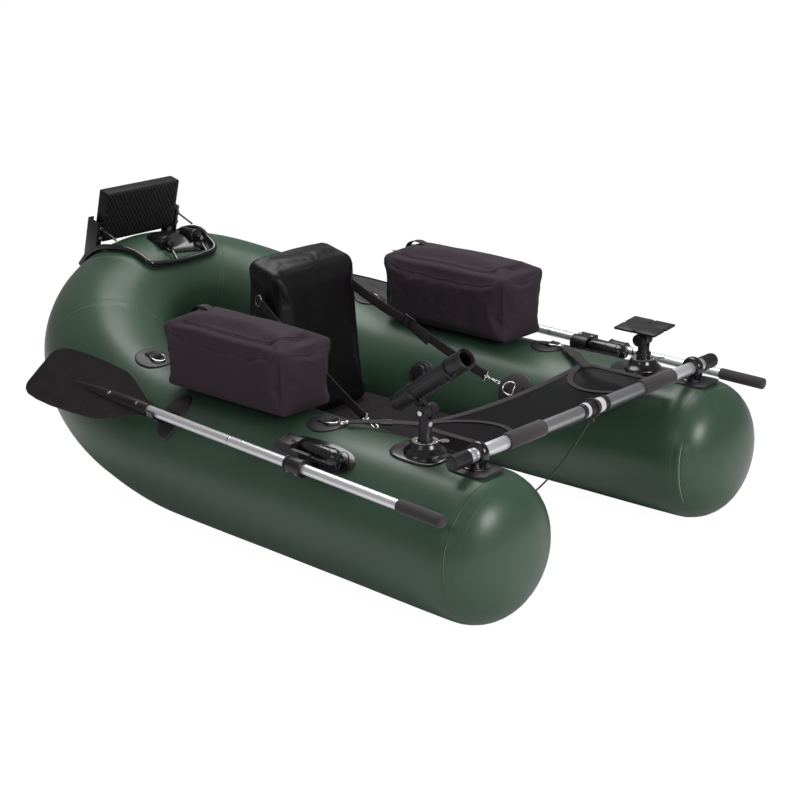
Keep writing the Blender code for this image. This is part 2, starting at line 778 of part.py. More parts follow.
def make_oar(side):
    """One oar with its lock, collar and stowing clip. Local Y runs along the shaft."""
    slope = math.atan(OAR_SPLAY_SHARE)
    climb = math.atan(OAR_RISE_SHARE)
    frame = at(side * OAR_SPREAD, OAR_Y, OAR_Z,
               Euler((climb, 0.0, side * slope), "XYZ").to_matrix().to_4x4())
    lie = turn_about("X", -90.0)
    shaft = side_name("oar_shaft", side)
    drum(shaft, SHAFT_RADIUS, SHAFT_FRONT + SHAFT_BACK, METAL,
         frame @ at(y=(SHAFT_BACK - SHAFT_FRONT) / 2) @ lie, sides=16)
    make_oar_grip(side, frame, lie)
    make_blade(side, frame)
    make_oarlock(side, frame, lie)
    make_clip(side, frame)


def make_oar_grip(side, frame, lie):
    end = -SHAFT_FRONT - OAR_GRIP_PLUG
    start = end - OAR_GRIP_PLUG + OAR_GRIP_LENGTH
    bore = SHAFT_RADIUS + SEAT_GAP
    floor = -SHAFT_FRONT - SEAT_GAP
    turned(side_name("oar_grip", side), [
        (0.0, end - OAR_GRIP_PLUG), (OAR_GRIP_RADIUS - OAR_GRIP_PLUG / 2, end - OAR_GRIP_PLUG),
        (OAR_GRIP_RADIUS, end), (OAR_GRIP_RADIUS, start), (bore, start), (bore, floor), (0.0, floor),
    ], RUBBER, frame @ lie, sides=16)


def make_blade(side, frame):
    """A flat blade with cut corners, tapered neck and a hollow rib over the shaft's end."""
    half_shares = [(0.0, 0.24), (0.06, 0.28), (0.25, 0.72), (0.34, 0.88), (0.70, 1.0), (0.84, 0.97)]
    corner_shares = [(0.93, 0.90), (0.985, 0.74), (1.0, 0.56)]
    right = [(share * BLADE_LENGTH, half * BLADE_HALF) for share, half in half_shares + corner_shares]
    outline = [(half, along) for along, half in right] + [(-half, along) for along, half in reversed(right)]
    place = frame @ at(y=BLADE_START) @ turn_about("Y", side * BLADE_TILT)
    bm = bmesh.new()
    low = [bm.verts.new((x, y, -BLADE_THICK / 2)) for x, y in outline]
    high = [bm.verts.new((x, y, BLADE_THICK / 2)) for x, y in outline]
    bm.faces.new(low)
    bm.faces.new(high)
    for index in range(len(outline)):
        after = (index + 1) % len(outline)
        bm.faces.new((low[index], low[after], high[after], high[index]))
    name = side_name("oar_blade", side)
    blade = mesh_object(name, bm, PLASTIC, place)
    rib = turned(name + "_rib", [
        (0.0, 0.0), (BLADE_RIB, 0.0), (BLADE_RIB, BLADE_RIB_LENGTH * 0.38),
        (BLADE_RIB * 0.75, BLADE_RIB_LENGTH * 0.70), (0.0, BLADE_RIB_LENGTH),
    ], None, place @ turn_about("X", -90.0), sides=12)
    socket = drum(name + "_socket", SHAFT_RADIUS + SEAT_GAP, 2 * (SHAFT_BACK - BLADE_START + SEAT_GAP),
                  None, place @ turn_about("X", -90.0), sides=16)
    return cut(join(blade, rib), socket)


def make_oarlock(side, frame, lie):
    """Base pad with a fixed barrel and axle, the head that turns on it, and the oar's collar."""
    inboard = -side
    barrel_x = inboard * LOCK_ACROSS
    hub_front = LOCK_BACK - LOCK_HUB_LENGTH / 2
    hub_back = LOCK_BACK + LOCK_HUB_LENGTH / 2
    neck = hub_front - LOCK_CLEAR - LOCK_NECK_LENGTH
    front = neck - BARREL_LENGTH
    base = side_name("oarlock_base", side)
    pad = wrapped_pad(base, side, LOCK_PAD_LENGTH, LOCK_PAD_WIDTH, PATCH_THICK * 2, RUBBER,
                      y=LOCK_PAD_Y, angle=LOCK_ANGLE, corner=2.6)
    barrel = turned(base + "_barrel", [
        (0.0, front), (BARREL_RADIUS * 0.55, front), (BARREL_RADIUS * 0.9, front + BARREL_RADIUS * 0.45),
        (BARREL_RADIUS, front + BARREL_RADIUS), (BARREL_RADIUS, neck), (LOCK_NECK, neck),
        (LOCK_NECK, hub_front - LOCK_CLEAR), (LOCK_AXLE, hub_front - LOCK_CLEAR),
        (LOCK_AXLE, hub_back + PATCH_THICK), (0.0, hub_back + PATCH_THICK),
    ], None, frame @ at(x=barrel_x, z=LOCK_RISE) @ lie, sides=16)
    saddle_height = BARREL_RADIUS * 1.6
    lean = math.radians(LOCK_ANGLE)
    saddle_place = (barrel_x + inboard * math.sin(lean) * saddle_height / 2, neck - BARREL_LENGTH / 2,
                    LOCK_RISE - math.cos(lean) * saddle_height / 2)
    saddle = box(base + "_saddle", (BARREL_RADIUS * 1.5, BARREL_LENGTH * 0.8, saddle_height), None,
                 frame @ at(*saddle_place) @ turn_about("Y", side * LOCK_ANGLE))
    cut(join(pad, saddle, barrel), hull_grown(base + "_hull", SEAT_GAP))
    make_lock_head(side, frame, lie, barrel_x)
    make_collar(side, frame, lie)


def make_lock_head(side, frame, lie, barrel_x):
    """The hub on the axle, an arm out to the shaft, and a cheek forward to the collar's pin."""
    inboard = -side
    head = side_name("oarlock_head", side)
    hub = drum(head, LOCK_HUB, LOCK_HUB_LENGTH, PLASTIC,
               frame @ at(x=barrel_x, y=LOCK_BACK, z=LOCK_RISE) @ lie, sides=16)
    near = COLLAR_RADIUS + COLLAR_BOSS * 0.4 + SEAT_GAP
    reach = LOCK_ACROSS - near
    rise = LOCK_RISE * 0.35
    arm = box(head + "_arm", (reach, LOCK_HUB_LENGTH, LOCK_ARM_HEIGHT), None,
              frame @ at(inboard * (near + reach / 2), LOCK_BACK, LOCK_RISE))
    cheek_length = LOCK_BACK + LOCK_HUB_LENGTH / 2 + COLLAR_BOSS
    cheek = box(head + "_cheek", (LOCK_ARM_THICK, cheek_length, LOCK_ARM_HEIGHT), None,
                frame @ at(inboard * (near + LOCK_ARM_THICK / 2), cheek_length / 2 - COLLAR_BOSS, rise))
    pin = drum(head + "_pin", PIVOT_PIN, 2 * (near - SHAFT_RADIUS - COLLAR_CLEAR * 4), None,
               frame @ at(x=inboard * near) @ turn_about("Y", 90.0), sides=12)
    bore = drum(head + "_bore", LOCK_AXLE + LOCK_CLEAR, LOCK_HUB_LENGTH * 1.2, None,
                frame @ at(x=barrel_x, y=LOCK_BACK, z=LOCK_RISE) @ lie, sides=16)
    cut(join(hub, arm, cheek, pin), bore)


def make_collar(side, frame, lie):
    """The ring round the shaft with a boss for the head's pin."""
    inboard = -side
    collar = side_name("oar_collar", side)
    ring = drum(collar, COLLAR_RADIUS, COLLAR_LENGTH, PLASTIC, frame @ lie, sides=20)
    boss_length = COLLAR_RADIUS + COLLAR_BOSS * 0.4
    boss = drum(collar + "_boss", COLLAR_BOSS, boss_length, None,
                frame @ at(x=inboard * boss_length / 2) @ turn_about("Y", 90.0), sides=16)
    hole = drum(collar + "_hole", SHAFT_RADIUS + COLLAR_CLEAR, COLLAR_LENGTH * 1.2, None,
                frame @ lie, sides=16)
    pivot = drum(collar + "_pivot", PIVOT_PIN + LOCK_CLEAR, boss_length, None,
                 frame @ at(x=inboard * boss_length) @ turn_about("Y", 90.0), sides=12)
    cut(join(ring, boss), hole, pivot)


def make_clip(side, frame):
    """A cradle, open at the top, that holds the neck of the stowed oar off the hull."""
    name = side_name("oar_clip", side)
    pad = wrapped_pad(name, side, CLIP_PAD_LENGTH, CLIP_PAD_WIDTH, PATCH_THICK, RUBBER,
                      y=CLIP_PAD_Y, angle=CLIP_PAD_ANGLE, corner=2.4)
    here = frame @ at(y=CLIP_STATION)
    inner = SHAFT_RADIUS + CLIP_CLEAR
    outer = inner + CLIP_WALL
    cradle = box(name + "_cradle", (outer * 2, CLIP_LENGTH, outer), None, here @ at(z=-outer / 2))
    room = box(name + "_slot", (inner * 2, CLIP_LENGTH * 2, inner * 2), None, here)
    spot = here @ Vector((0.0, 0.0, 0.0))
    stem_frame, _, _ = hull_frame(side, spot.y, None, CLIP_STEM_ANGLE)
    foot = stem_frame.translation
    bottom = here @ Vector((-side * inner * 0.55, 0.0, -inner - CLIP_WALL * 0.5))
    lean = bottom - foot
    stem = box(name + "_stem", (CLIP_WALL * 2.4, CLIP_LENGTH * 0.9, lean.length + CLIP_WALL), None,
               Matrix.Translation((bottom + foot) / 2) @ facing(lean, up=(0.0, 1.0, 0.0)))
    cut(join(pad, stem, cradle), room, hull_grown(name + "_hull", SEAT_GAP))


def make_port(stem, side):
    """A rubber foot that rises from a pad on the hull to a round star port."""
    name = f"{stem}_base"
    pad = wrapped_pad(name, side, PORT_PAD_LENGTH, PORT_PAD_WIDTH, PATCH_THICK, RUBBER,
                      y=PORT_Y, corner=3.0)
    centre, radius = hull_station(side, y=PORT_Y)
    low = centre.z + radius - PATCH_THICK
    height = PORT_Z - low
    flare = [
        (0.0, 0.0), (PORT_SKIRT * 1.25, 0.0), (PORT_SKIRT * 1.02, height * 0.40),
        (PORT_RADIUS + PATCH_THICK, height * 0.62), (PORT_RADIUS, height * 0.70),
        (PORT_RADIUS, height), (PORT_BORE, height), (PORT_BORE, height - PORT_BORE_DEPTH),
        (0.0, height - PORT_BORE_DEPTH),
    ]
    foot = turned(name + "_foot", flare, None, at(centre.x, PORT_Y, low), sides=PORT_SEGMENTS)
    cut(join(pad, foot), hull_grown(name + "_hull", SEAT_GAP))
    make_lever(stem, centre.x)
    return centre.x


def make_lever(stem, x):
    """The port's locking lever: a flat arm with a round thumb pad."""
    name = f"{stem}_port_lever"
    reach = PORT_BORE + (PORT_RADIUS - PORT_BORE) / 2
    turn = turn_about("Z", -62.0)
    place = at(x, PORT_Y, PORT_Z + SEAT_GAP + LEVER_THICK / 2) @ turn @ at(x=reach)
    arm = box(name, (LEVER_LENGTH * 0.6, LEVER_RADIUS, LEVER_THICK), BRIGHT,
              place @ at(x=LEVER_LENGTH * 0.3))
    pad = drum(name + "_pad", LEVER_RADIUS * 1.1, LEVER_THICK, None, place @ at(x=LEVER_LENGTH * 0.6),
               sides=16)
    eye = drum(name + "_eye", LEVER_PIN * 1.8, LEVER_THICK, None, place, sides=12)
    join(arm, pad, eye)
    hinge_empty(f"{name}_axis", place, arm)


def knob(name, place, finish=PLASTIC):
    """A lobed hand knob on its bolt, turned about local Z."""
    points = []
    count = KNOB_LOBES * 4
    for step in range(count):
        angle = 2 * math.pi * step / count
        radius = KNOB_RADIUS - KNOB_LOBE + KNOB_LOBE * math.cos(KNOB_LOBES * angle)
        points.append((radius * math.cos(angle), radius * math.sin(angle)))
    bm = bmesh.new()
    low = [bm.verts.new((x, y, 0.0)) for x, y in points]
    high = [bm.verts.new((x, y, KNOB_DEPTH)) for x, y in points]
    bm.faces.new(low)
    bm.faces.new(high)
    for index in range(count):
        after = (index + 1) % count
        bm.faces.new((low[index], low[after], high[after], high[index]))
    made = mesh_object(name, bm, finish, place, smooth=50.0)
    length = 2 * KNUCKLE_HALF + PATCH_THICK * 2
    bolt = drum(name + "_bolt", BOLT_RADIUS, length, None, place @ at(z=-length / 2 + BOLT_RADIUS), sides=12)
    return join(made, bolt)


def make_post(name, x, rise):
    """A post in its port that ends in a fork for the knuckle. The fork's pin runs along X."""
    foot = PORT_Z - PORT_BORE_DEPTH + POST_CLEAR
    radius = PORT_BORE - POST_CLEAR
    top = PORT_Z + rise
    post = turned(name, [
        (0.0, foot), (radius, foot), (radius, PORT_Z + SEAT_GAP * 4 + LEVER_THICK * 2),
        (POST_RADIUS * 0.92, PORT_Z + LEVER_THICK * 3), (POST_RADIUS * 0.92, top), (0.0, top),
    ], PLASTIC, at(x, PORT_Y, 0.0), sides=20)
    eye = drum(name + "_eye", KNUCKLE_RADIUS, 2 * KNUCKLE_HALF, None,
               at(x, PORT_Y, top) @ turn_about("Y", 90.0), sides=20)
    slot = box(name + "_slot", (2 * KNUCKLE_TONGUE + 2 * POST_CLEAR, KNUCKLE_RADIUS * 4,
                                KNUCKLE_RADIUS * 2 + POST_CLEAR * 2), None,
               at(x, PORT_Y, top + POST_CLEAR))
    bore = drum(name + "_bore", BOLT_RADIUS + POST_CLEAR, KNUCKLE_HALF * 4, None,
                at(x, PORT_Y, top) @ turn_about("Y", 90.0), sides=12)
    return cut(join(post, eye), slot, bore), top


def make_rod_holder():
    side = -1
    x = make_port("rod_holder", side)
    _, top = make_post("rod_holder_post", x, KNUCKLE_RISE)
    pivot = at(x, PORT_Y, top)
    knob("rod_holder_knob", pivot @ at(x=KNUCKLE_HALF + SEAT_GAP) @ turn_about("Y", 90.0))
    pitch = turn_about("X", 90.0 - ROD_TUBE_PITCH)
    tube_frame = pivot @ pitch @ at(y=ROD_TUBE_OFFSET)
    inner = ROD_TUBE_RADIUS - ROD_TUBE_WALL
    flare = ROD_TUBE_WALL * 0.8
    tube = turned("rod_holder_tube", [
        (inner, -ROD_TUBE_BACK), (ROD_TUBE_RADIUS * 0.94, -ROD_TUBE_BACK),
        (ROD_TUBE_RADIUS, -ROD_TUBE_BACK * 0.8),
        (ROD_TUBE_RADIUS, ROD_TUBE_FRONT * 0.72), (ROD_TUBE_RADIUS + flare, ROD_TUBE_FRONT * 0.75),
        (ROD_TUBE_RADIUS + flare, ROD_TUBE_FRONT), (inner + flare / 2, ROD_TUBE_FRONT),
        (inner, ROD_TUBE_FRONT * 0.8),
    ], PLASTIC, tube_frame, sides=20)
    slot = box("rod_mouth_slot", (ROD_TUBE_RADIUS * 0.75, ROD_TUBE_RADIUS * 4, ROD_TUBE_FRONT * 0.30), None,
               tube_frame @ at(y=ROD_TUBE_RADIUS * 2, z=ROD_TUBE_FRONT))
    window = drum("rod_window", ROD_TUBE_RADIUS * 0.42, ROD_TUBE_RADIUS * 4, None,
                  tube_frame @ at(y=ROD_TUBE_RADIUS * 2, z=-ROD_TUBE_BACK * 0.45) @ turn_about("X", 90.0),
                  sides=14)
    keel_height = ROD_TUBE_OFFSET - ROD_TUBE_RADIUS + ROD_TUBE_WALL / 2
    keel = box("rod_keel", (2 * KNUCKLE_TONGUE - POST_CLEAR, keel_height, KNUCKLE_RADIUS * 1.7), None,
               tube_frame @ at(y=-ROD_TUBE_RADIUS + ROD_TUBE_WALL / 2 - keel_height / 2))
    eye = drum("rod_eye", KNUCKLE_RADIUS * 0.96, 2 * KNUCKLE_TONGUE - POST_CLEAR, None,
               pivot @ turn_about("Y", 90.0), sides=20)
    bore = drum("rod_bore", BOLT_RADIUS + POST_CLEAR, KNUCKLE_HALF * 4, None,
                pivot @ turn_about("Y", 90.0), sides=12)
    ribs = []
    for index in range(5):
        along = ROD_TUBE_FRONT * (0.08 + 0.13 * index)
        rib = box(f"rod_rib_{index}", (ROD_TUBE_RADIUS * 1.3, ROD_RIB * 2, ROD_RIB * 1.4), None,
                  tube_frame @ at(y=-ROD_TUBE_RADIUS, z=along))
        ribs.append(rib)
    cut(join(tube, keel, eye, *ribs), slot, window, bore)
    hinge_empty("rod_holder_tilt_axis", pivot, tube)


def make_sounder():
    side = 1
    x = make_port("sounder", side)
    _, top = make_post("sounder_post", x, SOUNDER_RISE)
    pivot = at(x, PORT_Y, top)
    knob("sounder_knob", pivot @ at(x=-KNUCKLE_HALF - SEAT_GAP) @ turn_about("Y", -90.0))
    lift = KNUCKLE_RADIUS * 1.9
    tilt = turn_about("Y", -PLATE_TILT)
    plate = box("sounder_plate", (PLATE_WIDTH, PLATE_LENGTH, PLATE_THICK), PLASTIC,
                pivot @ at(z=lift) @ tilt, edge=PLATE_THICK / 5)
    tongue_height = lift + PLATE_THICK / 4
    tongue = box("sounder_tongue",
                 (2 * KNUCKLE_TONGUE - POST_CLEAR, KNUCKLE_RADIUS * 1.6, tongue_height), None,
                 pivot @ at(z=tongue_height / 2))
    eye = drum("sounder_eye", KNUCKLE_RADIUS * 0.96, 2 * KNUCKLE_TONGUE - POST_CLEAR, None,
               pivot @ turn_about("Y", 90.0), sides=20)
    bore = drum("sounder_bore", BOLT_RADIUS + POST_CLEAR, KNUCKLE_HALF * 4, None,
                pivot @ turn_about("Y", 90.0), sides=12)
    slots = []
    for index, (u, v) in enumerate(((-1, 0), (1, 0), (0, 1), (0, -1))):
        slots.append(box(f"sounder_notch_{index}", (PLATE_SLOT, PLATE_SLOT, PLATE_THICK * 3), None,
                         pivot @ at(z=lift) @ tilt @ at(u * PLATE_WIDTH / 2, v * PLATE_LENGTH / 2)))
    centre_hole = drum("sounder_centre_hole", PLATE_HOLE, PLATE_THICK * 3, None, pivot @ at(z=lift) @ tilt
                       @ at(x=PLATE_WIDTH / 4), sides=12)
    cut(join(plate, tongue, eye), bore, centre_hole, *slots)
    hinge_empty("sounder_tilt_axis", pivot, plate)


def over_hull(x, y, lift):
    """The point above x and y that is the lift away from the hull's surface."""
    highest = None
    for centre, radius in hull_fine_axis():
        reach = radius + lift
        left = reach ** 2 - (x - centre.x) ** 2 - (y - centre.y) ** 2
        if left > 0:
            height = centre.z + math.sqrt(left)
            highest = height if highest is None else max(highest, height)
    return Vector((x, y, highest))


def hull_fine_axis():
    steps = 90
    return [hull_station(1, bend=math.pi * (0.15 + 0.70 * step / steps)) for step in range(steps + 1)]


def mount_leg():
    """Route of the right half of the frame: front bar, corner, and leg down behind the stern."""
    tail_x = UPRIGHT_X + UPRIGHT_WIDTH / 2 + MOUNT_WIRE + SEAT_GAP
    lift = MOUNT_WIRE + MOUNT_LIFT
    route = [(0.0, MOUNT_FRONT_Y), (MOUNT_FRONT_HALF / 2, MOUNT_FRONT_Y), (MOUNT_FRONT_HALF, MOUNT_FRONT_Y)]
    for step in range(1, 5):
        share = step / 4
        first = Vector((MOUNT_FRONT_HALF, MOUNT_FRONT_Y)).lerp(Vector((MOUNT_CORNER_X, MOUNT_FRONT_Y)), share)
        second = Vector((MOUNT_CORNER_X, MOUNT_FRONT_Y)).lerp(Vector((MOUNT_CORNER_X, MOUNT_CORNER_Y)), share)
        route.append(tuple(first.lerp(second, share)))
    for step in range(1, MOUNT_LEG_STEPS + 1):
        y = MOUNT_CORNER_Y + (MOUNT_TAIL_Y - MOUNT_CORNER_Y) * step / MOUNT_LEG_STEPS
        spread = smooth_step((y - MOUNT_CORNER_Y) / (MOUNT_SPREAD_Y - MOUNT_CORNER_Y))
        route.append((MOUNT_CORNER_X + (tail_x - MOUNT_CORNER_X) * spread, y))
    return [over_hull(x, y, lift) for x, y in route]


def make_mount_frame():
    """A bent tube that hugs the stern: front bar, two legs over the top, and two prongs."""
    right = mount_leg()
    left = [Vector((-p.x, p.y, p.z)) for p in reversed(right[1:])]
    frame = wire("mount_frame", left + right, MOUNT_WIRE, (RUBBER_BLACK, 0.35), rounds=2)
    prongs = []
    for index, x in enumerate((SOCKET_LEFT, SOCKET_RIGHT)):
        start = over_hull(x, MOUNT_FRONT_Y, MOUNT_WIRE + MOUNT_LIFT)
        points = [start, Vector((x, SOCKET_FRONT - PRONG_RADIUS, SOCKET_Z)), Vector((x, PRONG_TIP, SOCKET_Z))]
        prongs.append(wire(f"prong_{index}", points, PRONG_RADIUS, None, rounds=2))
    return join(frame, *prongs)


def make_socket_pad():
    """The rubber pad on the stern with its two sockets."""
    name = "mount_socket_pad"
    bend = math.acos(SOCKET_PAD_X / MID_SPREAD)
    pad = wrapped_pad(name, 1, SOCKET_PAD_WIDTH, SOCKET_PAD_LENGTH, PATCH_THICK, RUBBER,
                      bend=bend, angle=SOCKET_PAD_ANGLE, corner=3.2, steps=8)
    pieces = []
    holes = []
    middle = SOCKET_FRONT + SOCKET_LENGTH / 2
    for index, x in enumerate((SOCKET_LEFT, SOCKET_RIGHT)):
        body = drum(f"socket_{index}", SOCKET_RADIUS, SOCKET_LENGTH, None,
                    at(x, middle, SOCKET_Z) @ turn_about("X", 90.0))
        height = SOCKET_RADIUS * 2
        foot = box(f"socket_foot_{index}", (SOCKET_RADIUS * 1.86, SOCKET_LENGTH * 0.96, height), None,
                   at(x, middle, SOCKET_Z - SOCKET_RADIUS * 0.13 - height / 2))
        pieces += [foot, body]
        depth = PRONG_TIP - SOCKET_FRONT + CUT_OVERRUN * 2
        holes.append(drum(f"socket_hole_{index}", SOCKET_BORE, depth, None,
                          at(x, SOCKET_FRONT + depth / 2 - CUT_OVERRUN, SOCKET_Z) @ turn_about("X", 90.0),
                          sides=16))
    return cut(join(pad, *pieces), *holes, hull_grown(name + "_hull", SEAT_GAP))


UPRIGHT_X = BOARD_WIDTH / 2 + SEAT_GAP + UPRIGHT_WIDTH / 2


def make_mount():
    make_socket_pad()
    make_mount_frame()
    rake = turn_about("X", BOARD_RAKE)
    top_front = at(0.0, BOARD_TOP_Y, BOARD_TOP_Z) @ rake
    box("mount_board", (BOARD_WIDTH, BOARD_THICK, BOARD_HEIGHT), PLASTIC,
        top_front @ at(y=BOARD_THICK / 2, z=-BOARD_HEIGHT / 2), edge=BOARD_EDGE)
    for side in (-1, 1):
        name = side_name("mount_upright", side)
        place = top_front @ at(side * UPRIGHT_X, UPRIGHT_FORWARD + UPRIGHT_DEPTH / 2,
                               -UPRIGHT_TOP_DROP - UPRIGHT_LENGTH / 2)
        upright = box(name, (UPRIGHT_WIDTH, UPRIGHT_DEPTH, UPRIGHT_LENGTH), (RUBBER_BLACK, 0.4), place)
        hollow = box(name + "_hollow",
                     (UPRIGHT_WIDTH, UPRIGHT_DEPTH - 2 * UPRIGHT_WALL, UPRIGHT_LENGTH * 1.1),
                     None, place @ at(x=-side * UPRIGHT_WALL))
        foot = over_hull(UPRIGHT_X, BRACE_FOOT_Y, 2 * MOUNT_WIRE + MOUNT_LIFT + BRACE_RADIUS + SEAT_GAP * 2)
        foot.x *= side
        head = place @ Vector((0.0, 0.0, 0.0))
        head.z = BRACE_TOP_Z
        head.y -= (BRACE_TOP_Z - place.translation.z) * math.tan(math.radians(BOARD_RAKE))
        head.y -= UPRIGHT_DEPTH / 2 - UPRIGHT_WALL / 2
        brace = wire(name + "_brace", [head, foot], BRACE_RADIUS, None, rounds=1)
        cut(join(upright, brace), hollow, hull_grown(name + "_hull", SEAT_GAP))


def prism(name, outline, length, finish, place, edge):
    """An outline in X and Z drawn out along Y, with rounded edges."""
    bm = bmesh.new()
    face = bm.faces.new([bm.verts.new((x, 0.0, z)) for x, z in outline])
    moved = bmesh.ops.extrude_face_region(bm, geom=[face])["geom"]
    verts = [item for item in moved if isinstance(item, bmesh.types.BMVert)]
    bmesh.ops.translate(bm, vec=(0.0, length, 0.0), verts=verts)
    made = mesh_object(name, bm, finish, place)
    bevel = made.modifiers.new("edges", "BEVEL")
    bevel.width = edge
    bevel.segments = 2
    return made


def make_bag(side):
    """A bag on the pontoon: bottom seams above the tube, a low dome on top, handle and slider."""
    name = side_name("bag", side)
    length = BAG_LENGTH_LEFT if side < 0 else BAG_LENGTH_RIGHT
    tall = BAG_HEIGHT_LEFT if side < 0 else BAG_HEIGHT_RIGHT
    low = TUBE_RADIUS * 2 - BAG_SINK
    half = BAG_WIDTH / 2
    shoulder = tall - BAG_DOME
    outline = [(-BAG_SEAT_HALF, 0.0), (BAG_SEAT_HALF, 0.0), (half, BAG_SEAM), (half, shoulder),
               (0.0, tall), (-half, shoulder), (-half, BAG_SEAM)]
    bag = prism(name, outline, length, CLOTH, at(side * BAG_X, BAG_FRONT, low), BAG_ROUND)
    top = low + tall
    back = BAG_FRONT + length
    arch = []
    for step in range(9):
        angle = math.pi * step / 8
        arch.append((-HANDLE_SPAN / 2 * math.cos(angle), HANDLE_RISE * math.sin(angle) - HANDLE_THICK))
    route = [Vector((side * BAG_X, back - ZIP_INSET * 1.4 + u, top + v)) for u, v in arch]
    handle = ribbon(name + "_handle", route,
                    HANDLE_WIDTH, HANDLE_THICK)
    cut(join(bag, handle), hull_grown(name + "_hull", SEAT_GAP))
    slider = side_name("zip_slider", side)
    slope = math.degrees(math.atan(BAG_DOME / half))
    zip_x = side * (BAG_X - BAG_WIDTH * ZIP_X_SHARE)
    surface = top - BAG_DOME * ZIP_X_SHARE * 2
    lift = surface + SEAT_GAP * 2 + SLIDER_HEIGHT / 2
    place = at(zip_x, back - ZIP_INSET, lift) @ turn_about("Y", -side * slope)
    body = box(slider, (SLIDER_WIDTH, SLIDER_LENGTH, SLIDER_HEIGHT), BRIGHT, place)
    pull = box(slider + "_pull", (SLIDER_WIDTH * 0.5, SLIDER_PULL, SLIDER_HEIGHT * 0.4), None,
               place @ at(y=SLIDER_PULL * 0.6, z=SLIDER_HEIGHT * 0.2))
    join(body, pull)


def ribbon(name, points, width, thick, finish=None, across=(1.0, 0.0, 0.0)):
    """A flat strap through points: an open strip with Solidify, made a mesh."""
    side = Vector(across).normalized() * width / 2
    bm = bmesh.new()
    rows = [(bm.verts.new(p - side), bm.verts.new(p + side)) for p in points]
    for first, second in zip(rows, rows[1:]):
        bm.faces.new((first[0], first[1], second[1], second[0]))
    made = mesh_object(name, bm, finish)
    shell = made.modifiers.new("thickness", "SOLIDIFY")
    shell.thickness = thick
    shell.offset = 0.0
    return made


def make_backrest_straps():
    """Webbing from a backrest side to the inner ring, with its buckle and snap hook."""
    for side in (-1, 1):
        name = side_name("backrest_strap", side)
        high = SEAT_TOP + BACK_HEIGHT
        start = Vector((side * (BACK_WIDTH / 2 + SEAT_GAP + STRAP_THICK - STRAP_BACK_DRAW),
                        BACK_FOOT_FRONT + BACK_LEAN + BACK_HEAD_DEPTH * 0.6, high - STRAP_BACK_DROP))
        frame, _, _ = hull_frame(side, INNER_RING_Y, None, INNER_RING_ANGLE)
        end = frame @ Vector((0.0, RING_LENGTH * 1.1, KEEPER_HEIGHT * 3.0))
        run = end - start
        across = run.cross(Vector((0.0, 0.0, 1.0))).cross(run).normalized()
        hook_start = end - run.normalized() * HOOK_LENGTH
        strap = ribbon(name, [start, hook_start], STRAP_WIDTH, STRAP_THICK, CLOTH, across)
        buckle = start + run * BUCKLE_SHARE
        turn = facing(run, up=across)
        body = box(name + "_buckle", (BUCKLE_THICK, BUCKLE_WIDTH, BUCKLE_LENGTH), None,
                   Matrix.Translation(buckle) @ turn, edge=PATCH_THICK / 2)
        shank = wire(name + "_hook", [hook_start - run.normalized() * HOOK_WIRE * 3, end], HOOK_WIRE * 1.6,
                     None, rounds=2)
        join(strap, body, shank)


def apron_height(x, y):
    """The apron lies on the pontoons and sags between them."""
    share = min(abs(x) / APRON_HALF, 1.0)
    front = (APRON_BACK - y) / (APRON_BACK - BAR_Y)
    edge = 2 * TUBE_RADIUS + APRON_EDGE_LIFT
    sag = APRON_SAG * (1.0 - share ** 2)
    return edge - sag * (1.0 - 0.45 * front)


def make_apron():
    """A mesh sheet from the crossbar back over the lap, with a strap at each rear corner."""
    bm = bmesh.new()
    front = BAR_Y + BAR_RADIUS + APRON_THICK + APRON_BAR_GAP
    rows = []
    for j in range(APRON_STEPS_Y + 1):
        y = APRON_BACK + (front - APRON_BACK) * j / APRON_STEPS_Y
        row = []
        for i in range(APRON_STEPS_X + 1):
            x = APRON_HALF * (2.0 * i / APRON_STEPS_X - 1.0)
            row.append(bm.verts.new((x, y, apron_height(x, y))))
        rows.append(row)
    for low, high in zip(rows, rows[1:]):
        for i in range(APRON_STEPS_X):
            bm.faces.new((low[i], high[i], high[i + 1], low[i + 1]))
    apron = mesh_object("apron", bm, CLOTH)
    shell = apron.modifiers.new("thickness", "SOLIDIFY")
    shell.thickness = APRON_THICK
    shell.offset = 0.0
    for side in (-1, 1):
        start = Vector((side * (APRON_HALF - STRAP_WIDTH / 2), APRON_BACK - STRAP_WIDTH / 2,
                        2 * TUBE_RADIUS + APRON_EDGE_LIFT))
        frame, _, _ = hull_frame(side, FRONT_RING_Y, None, TOP_RING_ANGLE)
        end = frame @ Vector((0.0, -RING_LENGTH - RING_WIRE * 3, KEEPER_HEIGHT))
        run = end - start
        across = Vector((0.0, 0.0, 1.0)).cross(run).normalized()
        strap = ribbon(side_name("apron_strap", side), [start, end], STRAP_WIDTH, STRAP_THICK, None, across)
        join(apron, strap)


def make_lanyard():
    """The cord that hangs from the crossbar's middle to the front edge of the seat."""
    reach = SLEEVE_RADIUS + LANYARD_LOOP + LANYARD_WIRE
    start = Vector((0.0, BAR_Y, BAR_Z - reach))
    end = Vector((0.0, SEAT_FRONT + LANYARD_TUCK, SEAT_BOTTOM + LANYARD_RISE))
    points = []
    for step in range(LANYARD_POINTS + 1):
        share = step / LANYARD_POINTS
        drop = 4.0 * LANYARD_SAG * share * (1.0 - share)
        points.append(start.lerp(end, share) - Vector((0.0, 0.0, drop)))
    cord = wire("lanyard", points, LANYARD_WIRE, CLOTH)
    loop = []
    for step in range(LOOP_SIDES):
        angle = 2.0 * math.pi * step / LOOP_SIDES
        loop.append(Vector((0.0, BAR_Y - reach * math.sin(angle), BAR_Z - reach * math.cos(angle))))
    join(cord, wire("lanyard_loop", loop, LANYARD_WIRE, None, closed=True))


